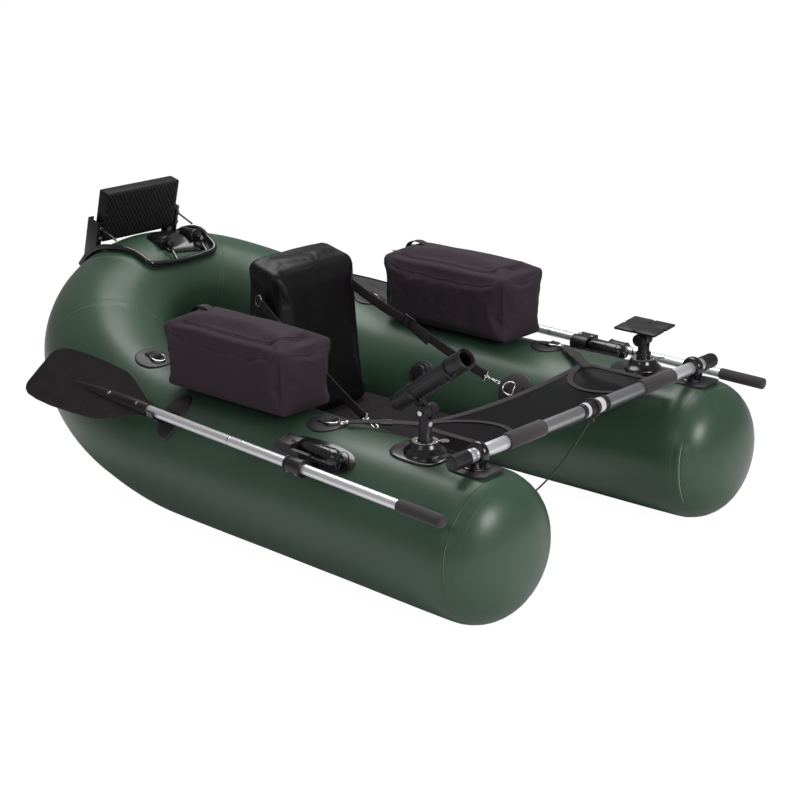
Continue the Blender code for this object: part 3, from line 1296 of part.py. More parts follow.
def main():
    make_hull()
    make_ring_patches()
    make_valves()
    make_seat()
    make_crossbar()
    for side in (-1, 1):
        make_oar(side)
        make_bag(side)
    make_rod_holder()
    make_sounder()
    make_mount()
    make_backrest_straps()
    make_apron()
    make_lanyard()


main()
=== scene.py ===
"""Looks of a float tube: the U-shaped inflatable boat with its seat, bags, oars and fittings.

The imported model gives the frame: metres, +Z up, the open end of the U towards -Y and the
raised stern towards +Y, left being -X. Each operator below dresses one group of pieces.
"""

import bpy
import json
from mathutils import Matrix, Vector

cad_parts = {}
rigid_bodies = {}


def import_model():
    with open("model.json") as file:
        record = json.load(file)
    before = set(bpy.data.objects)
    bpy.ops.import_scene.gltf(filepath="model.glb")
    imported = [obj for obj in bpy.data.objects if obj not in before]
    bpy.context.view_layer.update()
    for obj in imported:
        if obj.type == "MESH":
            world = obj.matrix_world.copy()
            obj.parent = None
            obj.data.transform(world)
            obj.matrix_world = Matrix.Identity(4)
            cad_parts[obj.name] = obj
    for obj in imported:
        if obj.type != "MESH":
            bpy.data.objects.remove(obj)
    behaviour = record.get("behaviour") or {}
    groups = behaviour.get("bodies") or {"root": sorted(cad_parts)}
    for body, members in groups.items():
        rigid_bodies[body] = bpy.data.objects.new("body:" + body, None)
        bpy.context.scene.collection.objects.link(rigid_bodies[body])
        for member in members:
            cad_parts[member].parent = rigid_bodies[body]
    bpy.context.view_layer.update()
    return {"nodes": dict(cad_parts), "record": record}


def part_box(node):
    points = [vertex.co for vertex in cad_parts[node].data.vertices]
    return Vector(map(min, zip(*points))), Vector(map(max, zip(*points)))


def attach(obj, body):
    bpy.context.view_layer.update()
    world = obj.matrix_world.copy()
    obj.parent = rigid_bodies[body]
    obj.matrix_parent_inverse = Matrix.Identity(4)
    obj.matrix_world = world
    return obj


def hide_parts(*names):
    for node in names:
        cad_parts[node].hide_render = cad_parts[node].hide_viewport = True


bl_info = {
    "name": "Float Tube Dressing",
    "version": (1, 0, 0),
    "blender": (4, 5, 0),
    "location": "View3D > Sidebar > Float Tube",
    "description": "Builds the skins, fabrics, fittings and finishes of an inflatable float tube",
    "category": "Object",
}

import json
import math

import bmesh
import bpy
from mathutils import Matrix, Vector, noise
from mathutils.bvhtree import BVHTree

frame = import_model()
ROOT = "hull"
SIDES = ((-1, "left"), (1, "right"))
BODY_OF = {node: body for body, nodes in frame["record"]["behaviour"]["bodies"].items() for node in nodes}


class HullSizes(bpy.types.PropertyGroup):
    """Sizes of the inflated tube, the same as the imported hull's."""
    tube_radius: bpy.props.FloatProperty(
        name="Pontoon radius", description="Radius of each straight pontoon", default=0.175, unit="LENGTH")
    stern_radius: bpy.props.FloatProperty(
        name="Stern radius", description="Radius of the tube round the raised stern", default=0.165,
        unit="LENGTH")
    tip_spread: bpy.props.FloatProperty(
        name="Tip spread", description="Half the distance between the tips' centres", default=0.423,
        unit="LENGTH")
    mid_spread: bpy.props.FloatProperty(
        name="Stern spread",
        description="Half the distance between the pontoons where the stern's bend starts",
        default=0.382, unit="LENGTH")
    tip_front: bpy.props.FloatProperty(
        name="Tip", description="Y of the tips' foremost points", default=-0.738, unit="LENGTH")
    tip_dome: bpy.props.FloatProperty(
        name="Tip dome", description="Length of the rounded tip", default=0.122, unit="LENGTH")
    straight_end: bpy.props.FloatProperty(
        name="Bend start", description="Y where the stern's bend starts", default=0.476, unit="LENGTH")
    stern_depth: bpy.props.FloatProperty(
        name="Stern depth", description="How far the bend reaches behind its start", default=0.424,
        unit="LENGTH")
    stern_height: bpy.props.FloatProperty(
        name="Stern height", description="Height of the stern's centre line", default=0.387, unit="LENGTH")
    rise_start: bpy.props.FloatProperty(
        name="Rise start", description="Y where the tube starts to rise", default=0.290, unit="LENGTH")
    seam_tape: bpy.props.FloatProperty(
        name="Seam overlap", description="Width of the overlap at each welded panel seam", default=0.026,
        unit="LENGTH")


class SoftSizes(bpy.types.PropertyGroup):
    """How the padded and woven pieces are made."""
    voxel: bpy.props.FloatProperty(
        name="Cloth grid", description="Voxel size that padded pieces are remeshed to", default=0.0055,
        unit="LENGTH")
    pressure: bpy.props.FloatProperty(
        name="Filling", description="Air pressure that swells a padded cover in the cloth simulation",
        default=4.0)
    frames: bpy.props.IntProperty(
        name="Frames", description="How long the cloth simulation runs", default=18)
    weave: bpy.props.FloatProperty(
        name="Weave", description="Distance between the threads of the bag cloth", default=0.0011,
        unit="LENGTH")
    webbing: bpy.props.FloatProperty(
        name="Webbing width", description="Width of the straps", default=0.025, unit="LENGTH")
    stitch: bpy.props.FloatProperty(
        name="Stitch length", description="Length of one stitch in the seams", default=0.0055, unit="LENGTH")
    net: bpy.props.FloatProperty(
        name="Net cell", description="Width of one hole of the apron's net", default=0.0026, unit="LENGTH")


class FinishColours(bpy.types.PropertyGroup):
    """Colours of the boat's materials."""
    hull: bpy.props.FloatVectorProperty(
        name="Hull", description="Coated fabric of the tube", subtype="COLOR", size=3, min=0, max=1,
        default=(0.029, 0.060, 0.037))
    cloth: bpy.props.FloatVectorProperty(
        name="Bag cloth", description="Woven cloth of the bags and the seat", subtype="COLOR", size=3, min=0,
        max=1, default=(0.031, 0.022, 0.029))
    vinyl: bpy.props.FloatVectorProperty(
        name="Backrest", description="Grained cover of the backrest", subtype="COLOR", size=3, min=0, max=1,
        default=(0.006, 0.005, 0.006))
    rubber: bpy.props.FloatVectorProperty(
        name="Rubber", description="Patches and grips", subtype="COLOR", size=3, min=0, max=1,
        default=(0.013, 0.010, 0.012))
    plastic: bpy.props.FloatVectorProperty(
        name="Plastic", description="Moulded fittings", subtype="COLOR", size=3, min=0, max=1,
        default=(0.011, 0.009, 0.011))
    alloy: bpy.props.FloatVectorProperty(
        name="Alloy", description="Tubes of the oars and the crossbar", subtype="COLOR", size=3, min=0, max=1,
        default=(0.86, 0.86, 0.89))


class StageLevels(bpy.types.PropertyGroup):
    """Light and camera of the plain studio."""
    key: bpy.props.FloatProperty(
        name="Key light", description="Power of the soft light above the boat", default=82.0, unit="POWER")
    fill: bpy.props.FloatProperty(
        name="Fill", description="Strength of the pale surroundings", default=0.30)
    lens: bpy.props.FloatProperty(
        name="Lens", description="Focal length of the camera", default=84.4, unit="CAMERA")


class Socket:
    """An output of a shader node that can be used in sums, as a number is."""

    def __init__(self, finish, output):
        self.finish = finish
        self.output = output

    def __add__(self, other):
        return self.finish.math("ADD", self, other)

    def __sub__(self, other):
        return self.finish.math("SUBTRACT", self, other)

    def __rsub__(self, other):
        return self.finish.math("SUBTRACT", other, self)

    def __mul__(self, other):
        return self.finish.math("MULTIPLY", self, other)

    def __truediv__(self, other):
        return self.finish.math("DIVIDE", self, other)

    def __abs__(self):
        return self.finish.math("ABSOLUTE", self)

    __radd__ = __add__
    __rmul__ = __mul__


class Finish:
    """One material round a Principled shader, with helpers for its nodes."""

    made = {}

    def __init__(self, name, colour, roughness, metallic=0.0, **fixed):
        self.material = bpy.data.materials.new(name)
        self.material.use_nodes = True
        self.tree = self.material.node_tree
        self.shader = self.tree.nodes["Principled BSDF"]
        self.colour = colour
        self.shader.inputs["Base Color"].default_value = (*colour, 1.0)
        self.shader.inputs["Roughness"].default_value = roughness
        self.shader.inputs["Metallic"].default_value = metallic
        for socket, value in fixed.items():
            self.shader.inputs[socket.replace("_", " ").title().replace("Ior", "IOR")].default_value = value
        Finish.made[name] = self.material

    def node(self, kind, settings=(), values=(), output=0):
        """A node of that kind: its settings first, then its sockets, and one of its outputs."""
        node = self.tree.nodes.new(kind)
        for key, value in dict(settings).items():
            if key == "stops":
                ramp = node.color_ramp.elements
                while len(ramp) < len(value):
                    ramp.new(0.5)
                for stop, (place, shade) in zip(ramp, value):
                    stop.position = place
                    stop.color = shade
            else:
                setattr(node, key, value)
        for key, value in dict(values).items():
            if isinstance(value, Socket):
                self.tree.links.new(value.output, node.inputs[key])
            else:
                node.inputs[key].default_value = value
        return Socket(self, node.outputs[output])

    def math(self, operation, *values):
        return self.node("ShaderNodeMath", {"operation": operation}, dict(enumerate(values)))

    def spot(self, turn=(0.0, 0.0, 0.0), scale=(1.0, 1.0, 1.0), source="Object"):
        """Places on the piece in metres, turned and scaled about its middle."""
        where = self.node("ShaderNodeTexCoord", output=source)
        return self.node("ShaderNodeMapping", values={"Vector": where, "Rotation": turn, "Scale": scale})

    def axis(self, vector, name):
        return self.node("ShaderNodeSeparateXYZ", values={"Vector": vector}, output=name)

    def grain(self, scale, detail=2.0, rough=0.5, vector=None, seed=0.0):
        return self.node("ShaderNodeTexNoise", {"noise_dimensions": "4D"},
                         {"Vector": vector or self.spot(), "W": seed, "Scale": scale, "Detail": detail,
                          "Roughness": rough})

    def ease(self, value, low, high, start=0.0, end=1.0):
        return self.node("ShaderNodeMapRange", {"interpolation_type": "SMOOTHSTEP"},
                         {"Value": value, "From Min": low, "From Max": high, "To Min": start, "To Max": end})

    def pulse(self, value, centre, half, soft):
        """One near the centre, nothing further off than the half width."""
        return self.ease(abs(value - centre), half, half + soft, 1.0, 0.0)

    def wave(self, value, period):
        """A smooth wave from 0 to 1 along a length."""
        return self.math("SINE", value * (2.0 * math.pi / period)) * 0.5 + 0.5

    def blend(self, factor, first, second):
        node = {"data_type": "RGBA"}
        shades = {"Factor": factor, 6: first, 7: second}
        return self.node("ShaderNodeMix", node, shades, output=2)

    def paint(self, shade):
        self.tree.links.new(shade.output, self.shader.inputs["Base Color"])

    def polish(self, value):
        self.tree.links.new(value.output, self.shader.inputs["Roughness"])

    def opacity(self, value):
        self.tree.links.new(value.output, self.shader.inputs["Alpha"])

    def relief(self, *layers):
        """Bump nodes in a row, each a height, a strength and the depth in metres of a full step."""
        last = None
        for height, strength, depth in layers:
            values = {"Height": height, "Strength": strength, "Distance": depth}
            if last is not None:
                values["Normal"] = last
            last = self.node("ShaderNodeBump", values=values)
        self.tree.links.new(last.output, self.shader.inputs["Normal"])

    def tint(self, factor, gain):
        """The finish's own colour, shifted towards a lighter or darker one by the factor."""
        return self.blend(factor, (*self.colour, 1.0),
                          (*(min(channel * gain, 1.0) for channel in self.colour), 1.0))


def colours():
    return bpy.context.scene.float_tube_colours


def sizes():
    return bpy.context.scene.float_tube_hull


def soft_sizes():
    return bpy.context.scene.float_tube_soft


def hull_finish(marks):
    """Coated fabric: fine grain, faint puckers, and a step, a dark line and a painted pale highlight at each
    seam.
    """
    finish = Finish("coated_fabric", colours().hull, 0.40, coat_weight=0.26, coat_roughness=0.28,
                    specular_ior_level=0.35)
    flat = finish.node("ShaderNodeUVMap", {"uv_map": "flat"})
    along = finish.axis(flat, "X")
    around = finish.axis(flat, "Y")
    half = sizes().seam_tape / 2
    line = 0.0
    seam_painted_highlight = 0.0
    step = 0.0
    pucker = 0.0
    wander = finish.grain(3.0, seed=2.0) * 0.012
    for mark, strong in marks:
        off = along + wander - mark
        line = finish.pulse(off, half, 0.0005, 0.0011) * strong + line
        # painted highlight: a pale line just inside each seam, in place of the light that the seam's raised
        # edge catches
        seam_painted_highlight = finish.pulse(off, half - 0.0016, 0.0005, 0.0008) * strong + seam_painted_highlight
        step = finish.pulse(off, 0.0, half, 0.0012) * strong + step
        pucker = finish.pulse(off, half, half * 0.3, half * 1.3) * strong + pucker
    broken = finish.ease(finish.grain(6.0, 2.0, seed=11.0), 0.44, 0.62)
    low = finish.pulse(around, 0.862, 0.0004, 0.0014) * 0.6 + finish.pulse(around, 0.63, 0.0004, 0.0014) * 0.6
    line = finish.math("MINIMUM", line + low, 1.0)
    crease = finish.grain(26.0, 3.0, vector=finish.spot(scale=(1.0, 0.35, 1.0)), seed=5.0)
    cloud = finish.grain(4.0, 2.0, seed=1.0)
    speck = finish.grain(420.0, 1.0, seed=3.0)
    shade = finish.tint(cloud, 1.35)
    shade = finish.blend(line * (broken * 0.5 + 0.35), shade, (0.010, 0.018, 0.012, 1.0))
    # mixes the painted seam highlight into the base colour
    finish.paint(finish.blend(seam_painted_highlight * broken * 0.8, shade, (0.26, 0.34, 0.28, 1.0)))
    finish.polish(cloud * 0.10 + 0.34 + line * 0.2)
    finish.relief((speck, 0.10, 0.0002), (cloud, 0.25, 0.006), (crease * pucker * broken, 0.9, 0.006),
                  (step, 0.8, 0.0009))
    return finish.material


def woven_finish(name, colour, thread, roughness=0.82, folds=0.004):
    """Plain woven cloth, dull: threads crossing each other and soft folds."""
    finish = Finish(name, colour, roughness, sheen_weight=0.03, specular_ior_level=0.12)
    where = finish.spot()
    threads = 1.0
    for letter in "XYZ":
        threads = finish.wave(finish.axis(where, letter), thread * 2.0) * 0.35 + threads * 0.65
    fold = finish.grain(9.0, 3.0, 0.55, where, 4.0)
    crumple = finish.grain(38.0, 2.0, 0.6, where, 7.0)
    finish.paint(finish.tint(fold * 0.7 + threads * 0.3, 1.75))
    finish.polish(fold * 0.12 + roughness - 0.08)
    finish.relief((threads, 0.35, 0.0003), (crumple, 0.30, 0.0016), (fold, 0.45, folds))


def webbing_finish(name, colour):
    """Flat strap: fine ribs along it and a herringbone of picks across it, on the strap's own map."""
    finish = Finish(name, colour, 0.78, sheen_weight=0.08, specular_ior_level=0.3)
    where = finish.node("ShaderNodeUVMap", {"uv_map": "flat"})
    along = finish.axis(where, "X")
    across = finish.axis(where, "Y")
    ribs = finish.wave(across, 0.0022)
    picks = finish.wave(along + abs(across) * 0.8, 0.0016)
    cloth = ribs * 0.6 + picks * 0.4
    finish.paint(finish.tint(cloth, 2.2))
    finish.polish(cloth * 0.15 + 0.68)
    finish.relief((cloth, 0.6, 0.0004))


def grained_finish(name, colour, roughness=0.33):
    """Grained vinyl: small pebbles, a slight lattice and rubbed high spots."""
    finish = Finish(name, colour, roughness, coat_weight=0.04, coat_roughness=0.25, specular_ior_level=0.22)
    pebble = finish.node("ShaderNodeTexVoronoi", {"feature": "DISTANCE_TO_EDGE"},
                         {"Vector": finish.spot(), "Scale": 330.0}, "Distance")
    crumple = finish.grain(14.0, 3.0, seed=3.0)
    rubbed = finish.ease(finish.grain(5.0, 3.0, seed=6.0), 0.45, 0.75)
    finish.paint(finish.tint(rubbed, 1.7))
    finish.polish(rubbed * 0.14 + roughness - 0.04 + pebble * 0.3)
    finish.relief((finish.ease(pebble, 0.0, 0.25), 0.35, 0.0004), (crumple, 0.40, 0.004))


def moulded_finish(name, colour, roughness=0.42, grain=900.0, coat=0.0, wear=1.9, shine=0.5):
    """Moulded plastic: a fine spark-eroded skin, slight flow marks and paler rubbed spots."""
    finish = Finish(name, colour, roughness, coat_weight=coat, coat_roughness=0.12, specular_ior_level=shine)
    skin = finish.grain(grain, 1.0, seed=1.0)
    flow = finish.grain(22.0, 3.0, 0.6, seed=8.0)
    rubbed = finish.ease(flow, 0.42, 0.72)
    finish.paint(finish.tint(rubbed, wear))
    finish.polish(rubbed * 0.10 + roughness - 0.05)
    finish.relief((skin, 0.22, 0.0002), (flow, 0.10, 0.001))


def foam_finish(name, colour):
    """Closed foam and soft rubber grips: matt, pitted, a little paler where hands rub it."""
    finish = Finish(name, colour, 0.88, sheen_weight=0.15)
    pits = finish.node("ShaderNodeTexVoronoi", {"feature": "F1"}, {"Vector": finish.spot(), "Scale": 620.0},
                       "Distance")
    rubbed = finish.grain(30.0, 3.0, seed=2.0)
    finish.paint(finish.tint(rubbed, 1.9))
    finish.polish(rubbed * 0.10 + 0.80)
    finish.relief((pits, 0.5, 0.0005), (rubbed, 0.2, 0.0008))


def alloy_finish(name, colour, roughness=0.30, drawn=(1.0, 0.02, 1.0)):
    """Drawn and anodised tube: fine streaks along the draw, small scuffs."""
    finish = Finish(name, colour, roughness, 0.8)
    streak = finish.grain(700.0, 2.0, 0.6, finish.spot(scale=drawn), 3.0)
    scuff = finish.ease(finish.grain(60.0, 4.0, 0.7, seed=9.0), 0.58, 0.74)
    finish.paint(finish.tint(streak * 0.5 + scuff * 0.5, 0.74))
    finish.polish(streak * 0.12 + scuff * 0.14 + roughness - 0.05)
    finish.relief((streak, 0.08, 0.0002))


def bright_finish(name="bright_steel", colour=(0.78, 0.77, 0.75)):
    """Polished steel of rings, pins and levers, with faint scratches."""
    finish = Finish(name, colour, 0.16, 1.0)
    scratch = finish.grain(260.0, 4.0, 0.7, finish.spot(scale=(1.0, 0.15, 1.0)), 2.0)
    finish.paint(finish.tint(scratch, 0.82))
    finish.polish(scratch * 0.16 + 0.10)
    finish.relief((scratch, 0.05, 0.0002))


def painted_finish(name, colour):
    """Powder-coated rod: gloss black with a slight orange peel and dust on it."""
    finish = Finish(name, colour, 0.22, coat_weight=0.5, coat_roughness=0.10)
    peel = finish.grain(240.0, 2.0, seed=4.0)
    dust = finish.ease(finish.grain(35.0, 4.0, 0.7, seed=5.0), 0.5, 0.8)
    finish.paint(finish.tint(dust, 2.4))
    finish.polish(dust * 0.2 + 0.18)
    finish.relief((peel, 0.14, 0.0004))


def patch_finish(name, colour):
    """Glued patch of coated fabric: satin, with a fine cross grain."""
    finish = Finish(name, colour, 0.46, coat_weight=0.08)
    where = finish.spot()
    cross = finish.wave(finish.axis(where, "X"), 0.0016) * finish.wave(finish.axis(where, "Y"), 0.0016)
    cloud = finish.grain(24.0, 3.0, seed=3.0)
    finish.paint(finish.tint(cloud, 1.9))
    finish.polish(cloud * 0.16 + 0.38)
    finish.relief((cross, 0.25, 0.0003), (cloud, 0.30, 0.0012))


def net_finish(name, colour, cell, cover=0.62):
    """Fine net: round holes in rows over the apron's own map, see-through between the threads."""
    finish = Finish(name, colour, 0.75, specular_ior_level=0.1)
    where = finish.node("ShaderNodeUVMap", {"uv_map": "flat"})
    rows = finish.wave(finish.axis(where, "X"), cell)
    lines = finish.wave(finish.axis(where, "Y"), cell)
    hole = finish.ease(rows * lines, cover, cover + 0.2)
    slack = finish.grain(7.0, 3.0, seed=2.0)
    finish.paint(finish.tint(slack, 1.8))
    finish.polish(slack * 0.2 + 0.62)
    finish.opacity(1 - hole)
    finish.relief((rows * lines, 0.3, 0.0004), (slack, 0.35, 0.004))


def checker_finish(name, colour):
    """Rubber face of the motor board: raised diamonds with paler ridges between them."""
    finish = Finish(name, colour, 0.55, specular_ior_level=0.2)
    where = finish.node("ShaderNodeUVMap", {"uv_map": "flat"})
    across = finish.axis(where, "X")
    up = finish.axis(where, "Y")
    ridge = 0.0
    for lean in (0.62, -0.62):
        slant = finish.math("PINGPONG", across + up * lean, 0.0062) / 0.0062
        ridge = finish.math("MAXIMUM", finish.ease(slant, 0.15, 0.05), ridge)
    dust = finish.grain(45.0, 3.0, seed=3.0)
    finish.paint(finish.blend(ridge * (dust * 0.7 + 0.3), (0.0035, 0.003, 0.0035, 1.0),
                              (0.115, 0.105, 0.110, 1.0)))
    finish.polish(dust * 0.2 + 0.48 - ridge * 0.1)
    finish.relief((ridge, 0.8, 0.0008))


def braid_finish(name, colour):
    """Braided cord: strands that cross each other."""
    finish = Finish(name, colour, 0.7, sheen_weight=0.3)
    where = finish.spot()
    twist = finish.wave(finish.axis(where, "Z") + finish.axis(where, "X") * 1.4, 0.0030)
    cross = finish.wave(finish.axis(where, "Z") - finish.axis(where, "X") * 1.4, 0.0030)
    strands = finish.math("MAXIMUM", twist, cross)
    finish.paint(finish.tint(strands, 2.2))
    finish.polish(strands * 0.1 + 0.62)
    finish.relief((strands, 0.5, 0.0004))


def make_finishes():
    """Every material, once, under the names that the pieces ask for."""
    shades = colours()
    woven_finish("bag_cloth", shades.cloth, soft_sizes().weave)
    woven_finish("seat_cloth", shades.rubber, soft_sizes().weave * 1.3, 0.80)
    webbing_finish("strap_webbing", shades.rubber)
    webbing_finish("zip_tape", (0.010, 0.008, 0.009))
    grained_finish("backrest_vinyl", shades.vinyl)
    moulded_finish("satin_plastic", shades.plastic, 0.42)
    moulded_finish("gloss_plastic", (0.006, 0.005, 0.006), 0.22, 500.0, 0.4, 1.5)
    moulded_finish("blade_plastic", (0.013, 0.009, 0.011), 0.50, 520.0, wear=1.5, shine=0.25)
    moulded_finish("band_white", (0.62, 0.61, 0.63), 0.40, wear=0.85)
    moulded_finish("board_plastic", (0.009, 0.008, 0.009), 0.52, 600.0, shine=0.25)
    foam_finish("grip_foam", (0.022, 0.018, 0.021))
    alloy_finish("drawn_alloy", shades.alloy, 0.38)
    alloy_finish("bar_alloy", shades.alloy, 0.38, (0.02, 1.0, 1.0))
    alloy_finish("bar_alloy_grey", (0.36, 0.36, 0.38), 0.32, (0.02, 1.0, 1.0))
    bright_finish()
    bright_finish("dull_steel", (0.33, 0.32, 0.32))
    painted_finish("painted_rod", (0.007, 0.006, 0.007))
    patch_finish("patch_fabric", shades.rubber)
    net_finish("apron_net", (0.005, 0.004, 0.005), soft_sizes().net)
    checker_finish("board_rubber", (0.006, 0.005, 0.006))
    braid_finish("braided_cord", (0.010, 0.009, 0.010))
    moulded_finish("thread", (0.060, 0.055, 0.060), 0.70)
    moulded_finish("dull_thread", (0.014, 0.012, 0.014), 0.55)
    alloy_finish("band_silver", (0.74, 0.74, 0.76), 0.34, (0.02, 1.0, 1.0))


def smooth_step(share):
    clipped = min(max(share, 0.0), 1.0)
    return clipped * clipped * (3.0 - 2.0 * clipped)


def bend_length():
    size = sizes()
    steps = 64
    spots = [Vector((size.mid_spread * math.cos(math.pi / 2 * step / steps),
                     size.stern_depth * math.sin(math.pi / 2 * step / steps))) for step in range(steps + 1)]
    return sum((after - before).length for before, after in zip(spots, spots[1:]))


def hull_station(side, y=None, bend=None):
    """Centre and radius of the tube at a y of one pontoon, or at an angle of the stern's bend."""
    size = sizes()
    if bend is None and y > size.straight_end:
        bend = math.asin((y - size.straight_end) / size.stern_depth)
    if bend is None:
        share = (y - size.tip_front) / (size.straight_end - size.tip_front)
        x = size.tip_spread + (size.mid_spread - size.tip_spread) * share
        along = y - size.rise_start
    else:
        x = size.mid_spread * math.cos(bend)
        y = size.straight_end + size.stern_depth * math.sin(bend)
        along = size.straight_end - size.rise_start + bend_length() * bend / (math.pi / 2)
    gain = smooth_step(along / (size.straight_end + bend_length() - size.rise_start))
    z = size.tube_radius + (size.stern_height - size.tube_radius) * gain
    radius = size.tube_radius + (size.stern_radius - size.tube_radius) * gain
    return Vector((side * x, y, z)), radius


def hull_frame(side, y, angle=0.0, lift=0.0):
    """A frame on the tube's skin: Z outwards, Y along the pontoon; the angle leans outboard from the top."""
    step = 0.004
    centre, radius = hull_station(side, y)
    before, _ = hull_station(side, y - step)
    after, _ = hull_station(side, y + step)
    along = (after - before).normalized()
    out = along.cross(Vector((0.0, 0.0, 1.0))).normalized() * side
    up = out.cross(along).normalized() * side
    lean = math.radians(angle)
    normal = (up * math.cos(lean) + out * math.sin(lean)).normalized()
    level = along.cross(normal)
    place = Matrix((level, along, normal)).transposed().to_4x4()
    place.translation = centre + normal * (radius + lift)
    return place


def at(x=0.0, y=0.0, z=0.0):
    return Matrix.Translation((x, y, z))


def turned_about(axis, degrees):
    return Matrix.Rotation(math.radians(degrees), 4, axis)


def along(start, end, up=(0.0, 0.0, 1.0)):
    """A frame at the start whose Z runs to the end."""
    direction = (Vector(end) - Vector(start)).normalized()
    side = Vector(up).cross(direction)
    if side.length < 0.001:
        side = Vector((1.0, 0.0, 0.0))
    side.normalize()
    place = Matrix((side, direction.cross(side), direction)).transposed().to_4x4()
    place.translation = Vector(start)
    return place


def new_piece(name, bm, finish, body=ROOT, smooth=35.0, place=None, outward=True):
    """A mesh object at the origin, riding on a body, with one material."""
    if place is not None:
        bmesh.ops.transform(bm, matrix=place, verts=bm.verts)
    if outward:
        bmesh.ops.recalc_face_normals(bm, faces=bm.faces)
    mesh = bpy.data.meshes.new(name)
    bm.to_mesh(mesh)
    bm.free()
    mesh.shade_smooth()
    mesh.set_sharp_from_angle(angle=math.radians(smooth))
    piece = bpy.data.objects.new(name, mesh)
    bpy.context.scene.collection.objects.link(piece)
    mesh.materials.append(Finish.made[finish])
    if body:
        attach(piece, body)
    return piece


def applied(piece):
    """The piece with its modifiers made part of its mesh."""
    bpy.context.view_layer.update()
    graph = bpy.context.evaluated_depsgraph_get()
    mesh = bpy.data.meshes.new_from_object(piece.evaluated_get(graph), depsgraph=graph)
    old = piece.data
    piece.modifiers.clear()
    piece.data = mesh
    bpy.data.meshes.remove(old)
    mesh.name = piece.name
    return piece


def circle(count):
    """The cosine and the sine of each step of a full turn."""
    return [(math.cos(2 * math.pi * step / count), math.sin(2 * math.pi * step / count))
            for step in range(count)]


def skinned(bm, rings, joined):
    """Faces from each ring to the next; the last is joined to the first, or both ends are capped."""
    count = len(rings[0])
    for low, high in zip(rings, rings[1:] + rings[:1] if joined else rings[1:]):
        for step in range(count):
            after = (step + 1) % count
            bm.faces.new((low[step], low[after], high[after], high[step]))
    if not joined:
        bm.faces.new(list(reversed(rings[0])))
        bm.faces.new(rings[-1])


def turning(bm, profile, sides=48, place=None, closed=True):
    """A profile of (radius, height) turned about Z; closed ends meet on the axis."""
    rings = [[bm.verts.new((radius * cosine, radius * sine, height)) for cosine, sine in circle(sides)]
             for radius, height in profile]
    skinned(bm, rings, not closed)
    made = [vert for ring in rings for vert in ring]
    if place is not None:
        bmesh.ops.transform(bm, matrix=place, verts=made)
    return made


def rounded(radius, length, edge, steps=3):
    """Profile of a drum of that radius and length, centred, with rounded rims."""
    profile = []
    for end, sign in ((-1, -1), (1, 1)):
        for step in range(steps + 1):
            share = step / steps if sign > 0 else 1.0 - step / steps
            angle = math.pi / 2 * share
            profile.append((radius - edge + edge * math.cos(angle),
                            end * (length / 2 - edge + edge * math.sin(angle))))
    return profile


def block(bm, size, place, edge=0.0, segments=2):
    """A box of that size with rounded edges, added to the mesh."""
    made = bmesh.ops.create_cube(bm, size=1.0)["verts"]
    bmesh.ops.scale(bm, vec=size, verts=made)
    if edge:
        edges = list({link for vert in made for link in vert.link_edges})
        result = bmesh.ops.bevel(bm, geom=edges, offset=edge, segments=segments, affect="EDGES", profile=0.5)
        rims = {vert for face in result["faces"] for vert in face.verts}
        made = list(rims | {vert for vert in made if vert.is_valid})
    bmesh.ops.transform(bm, matrix=place, verts=made)


def tube_along(bm, points, radius, sides=12, closed=False):
    """A round rod through points, with flat ends, carried round the bends without twisting."""
    points = [Vector(point) for point in points]
    count = len(points)
    rings = []
    side = None
    for index, point in enumerate(points):
        if closed:
            heading = points[(index + 1) % count] - points[index - 1]
        else:
            heading = points[min(index + 1, count - 1)] - points[max(index - 1, 0)]
        heading.normalize()
        if side is None:
            side = heading.orthogonal().normalized()
        side = (side - heading * side.dot(heading)).normalized()
        other = heading.cross(side)
        rings.append([bm.verts.new(point + radius * (side * cosine + other * sine))
                      for cosine, sine in circle(sides)])
    skinned(bm, rings, closed)


def sheeted(bm, grid, where):
    """Faces over a grid of points, with a map in metres from each point's entry."""
    layer = bm.loops.layers.uv.new("flat")
    for low, high in zip(grid, grid[1:]):
        for step in range(len(low) - 1):
            face = bm.faces.new((low[step], low[step + 1], high[step + 1], high[step]))
            for loop in face.loops:
                loop[layer].uv = where[loop.vert]


def turned_piece(name, profile, sides, finish, body=ROOT, smooth=35.0, place=None, closed=True):
    """A turned profile as a piece of its own."""
    bm = bmesh.new()
    turning(bm, profile, sides, closed=closed)
    return new_piece(name, bm, finish, body, smooth, place)


def block_piece(name, size, place, edge, finish, body=ROOT, smooth=30.0, segments=2):
    """A box with rounded edges as a piece of its own."""
    bm = bmesh.new()
    block(bm, size, place, edge, segments)
    return new_piece(name, bm, finish, body, smooth)


def rod_piece(name, points, radius, sides, finish, smooth=60.0, closed=False):
    """A round rod through points as a piece of its own."""
    bm = bmesh.new()
    tube_along(bm, points, radius, sides, closed)
    return new_piece(name, bm, finish, smooth=smooth)


def smooth_route(points, steps):
    """A Catmull-Rom curve through the points."""
    points = [Vector(point) for point in points]
    ends = [points[0] * 2 - points[1]] + points + [points[-1] * 2 - points[-2]]
    route = []
    for index in range(1, len(ends) - 2):
        first, second, third, fourth = ends[index - 1:index + 3]
        for step in range(steps):
            t = step / steps
            route.append(0.5 * (2 * second + (third - first) * t
                                + (2 * first - 5 * second + 4 * third - fourth) * t * t
                                + (3 * second - first - 3 * third + fourth) * t * t * t))
    route.append(points[-1])
    return route


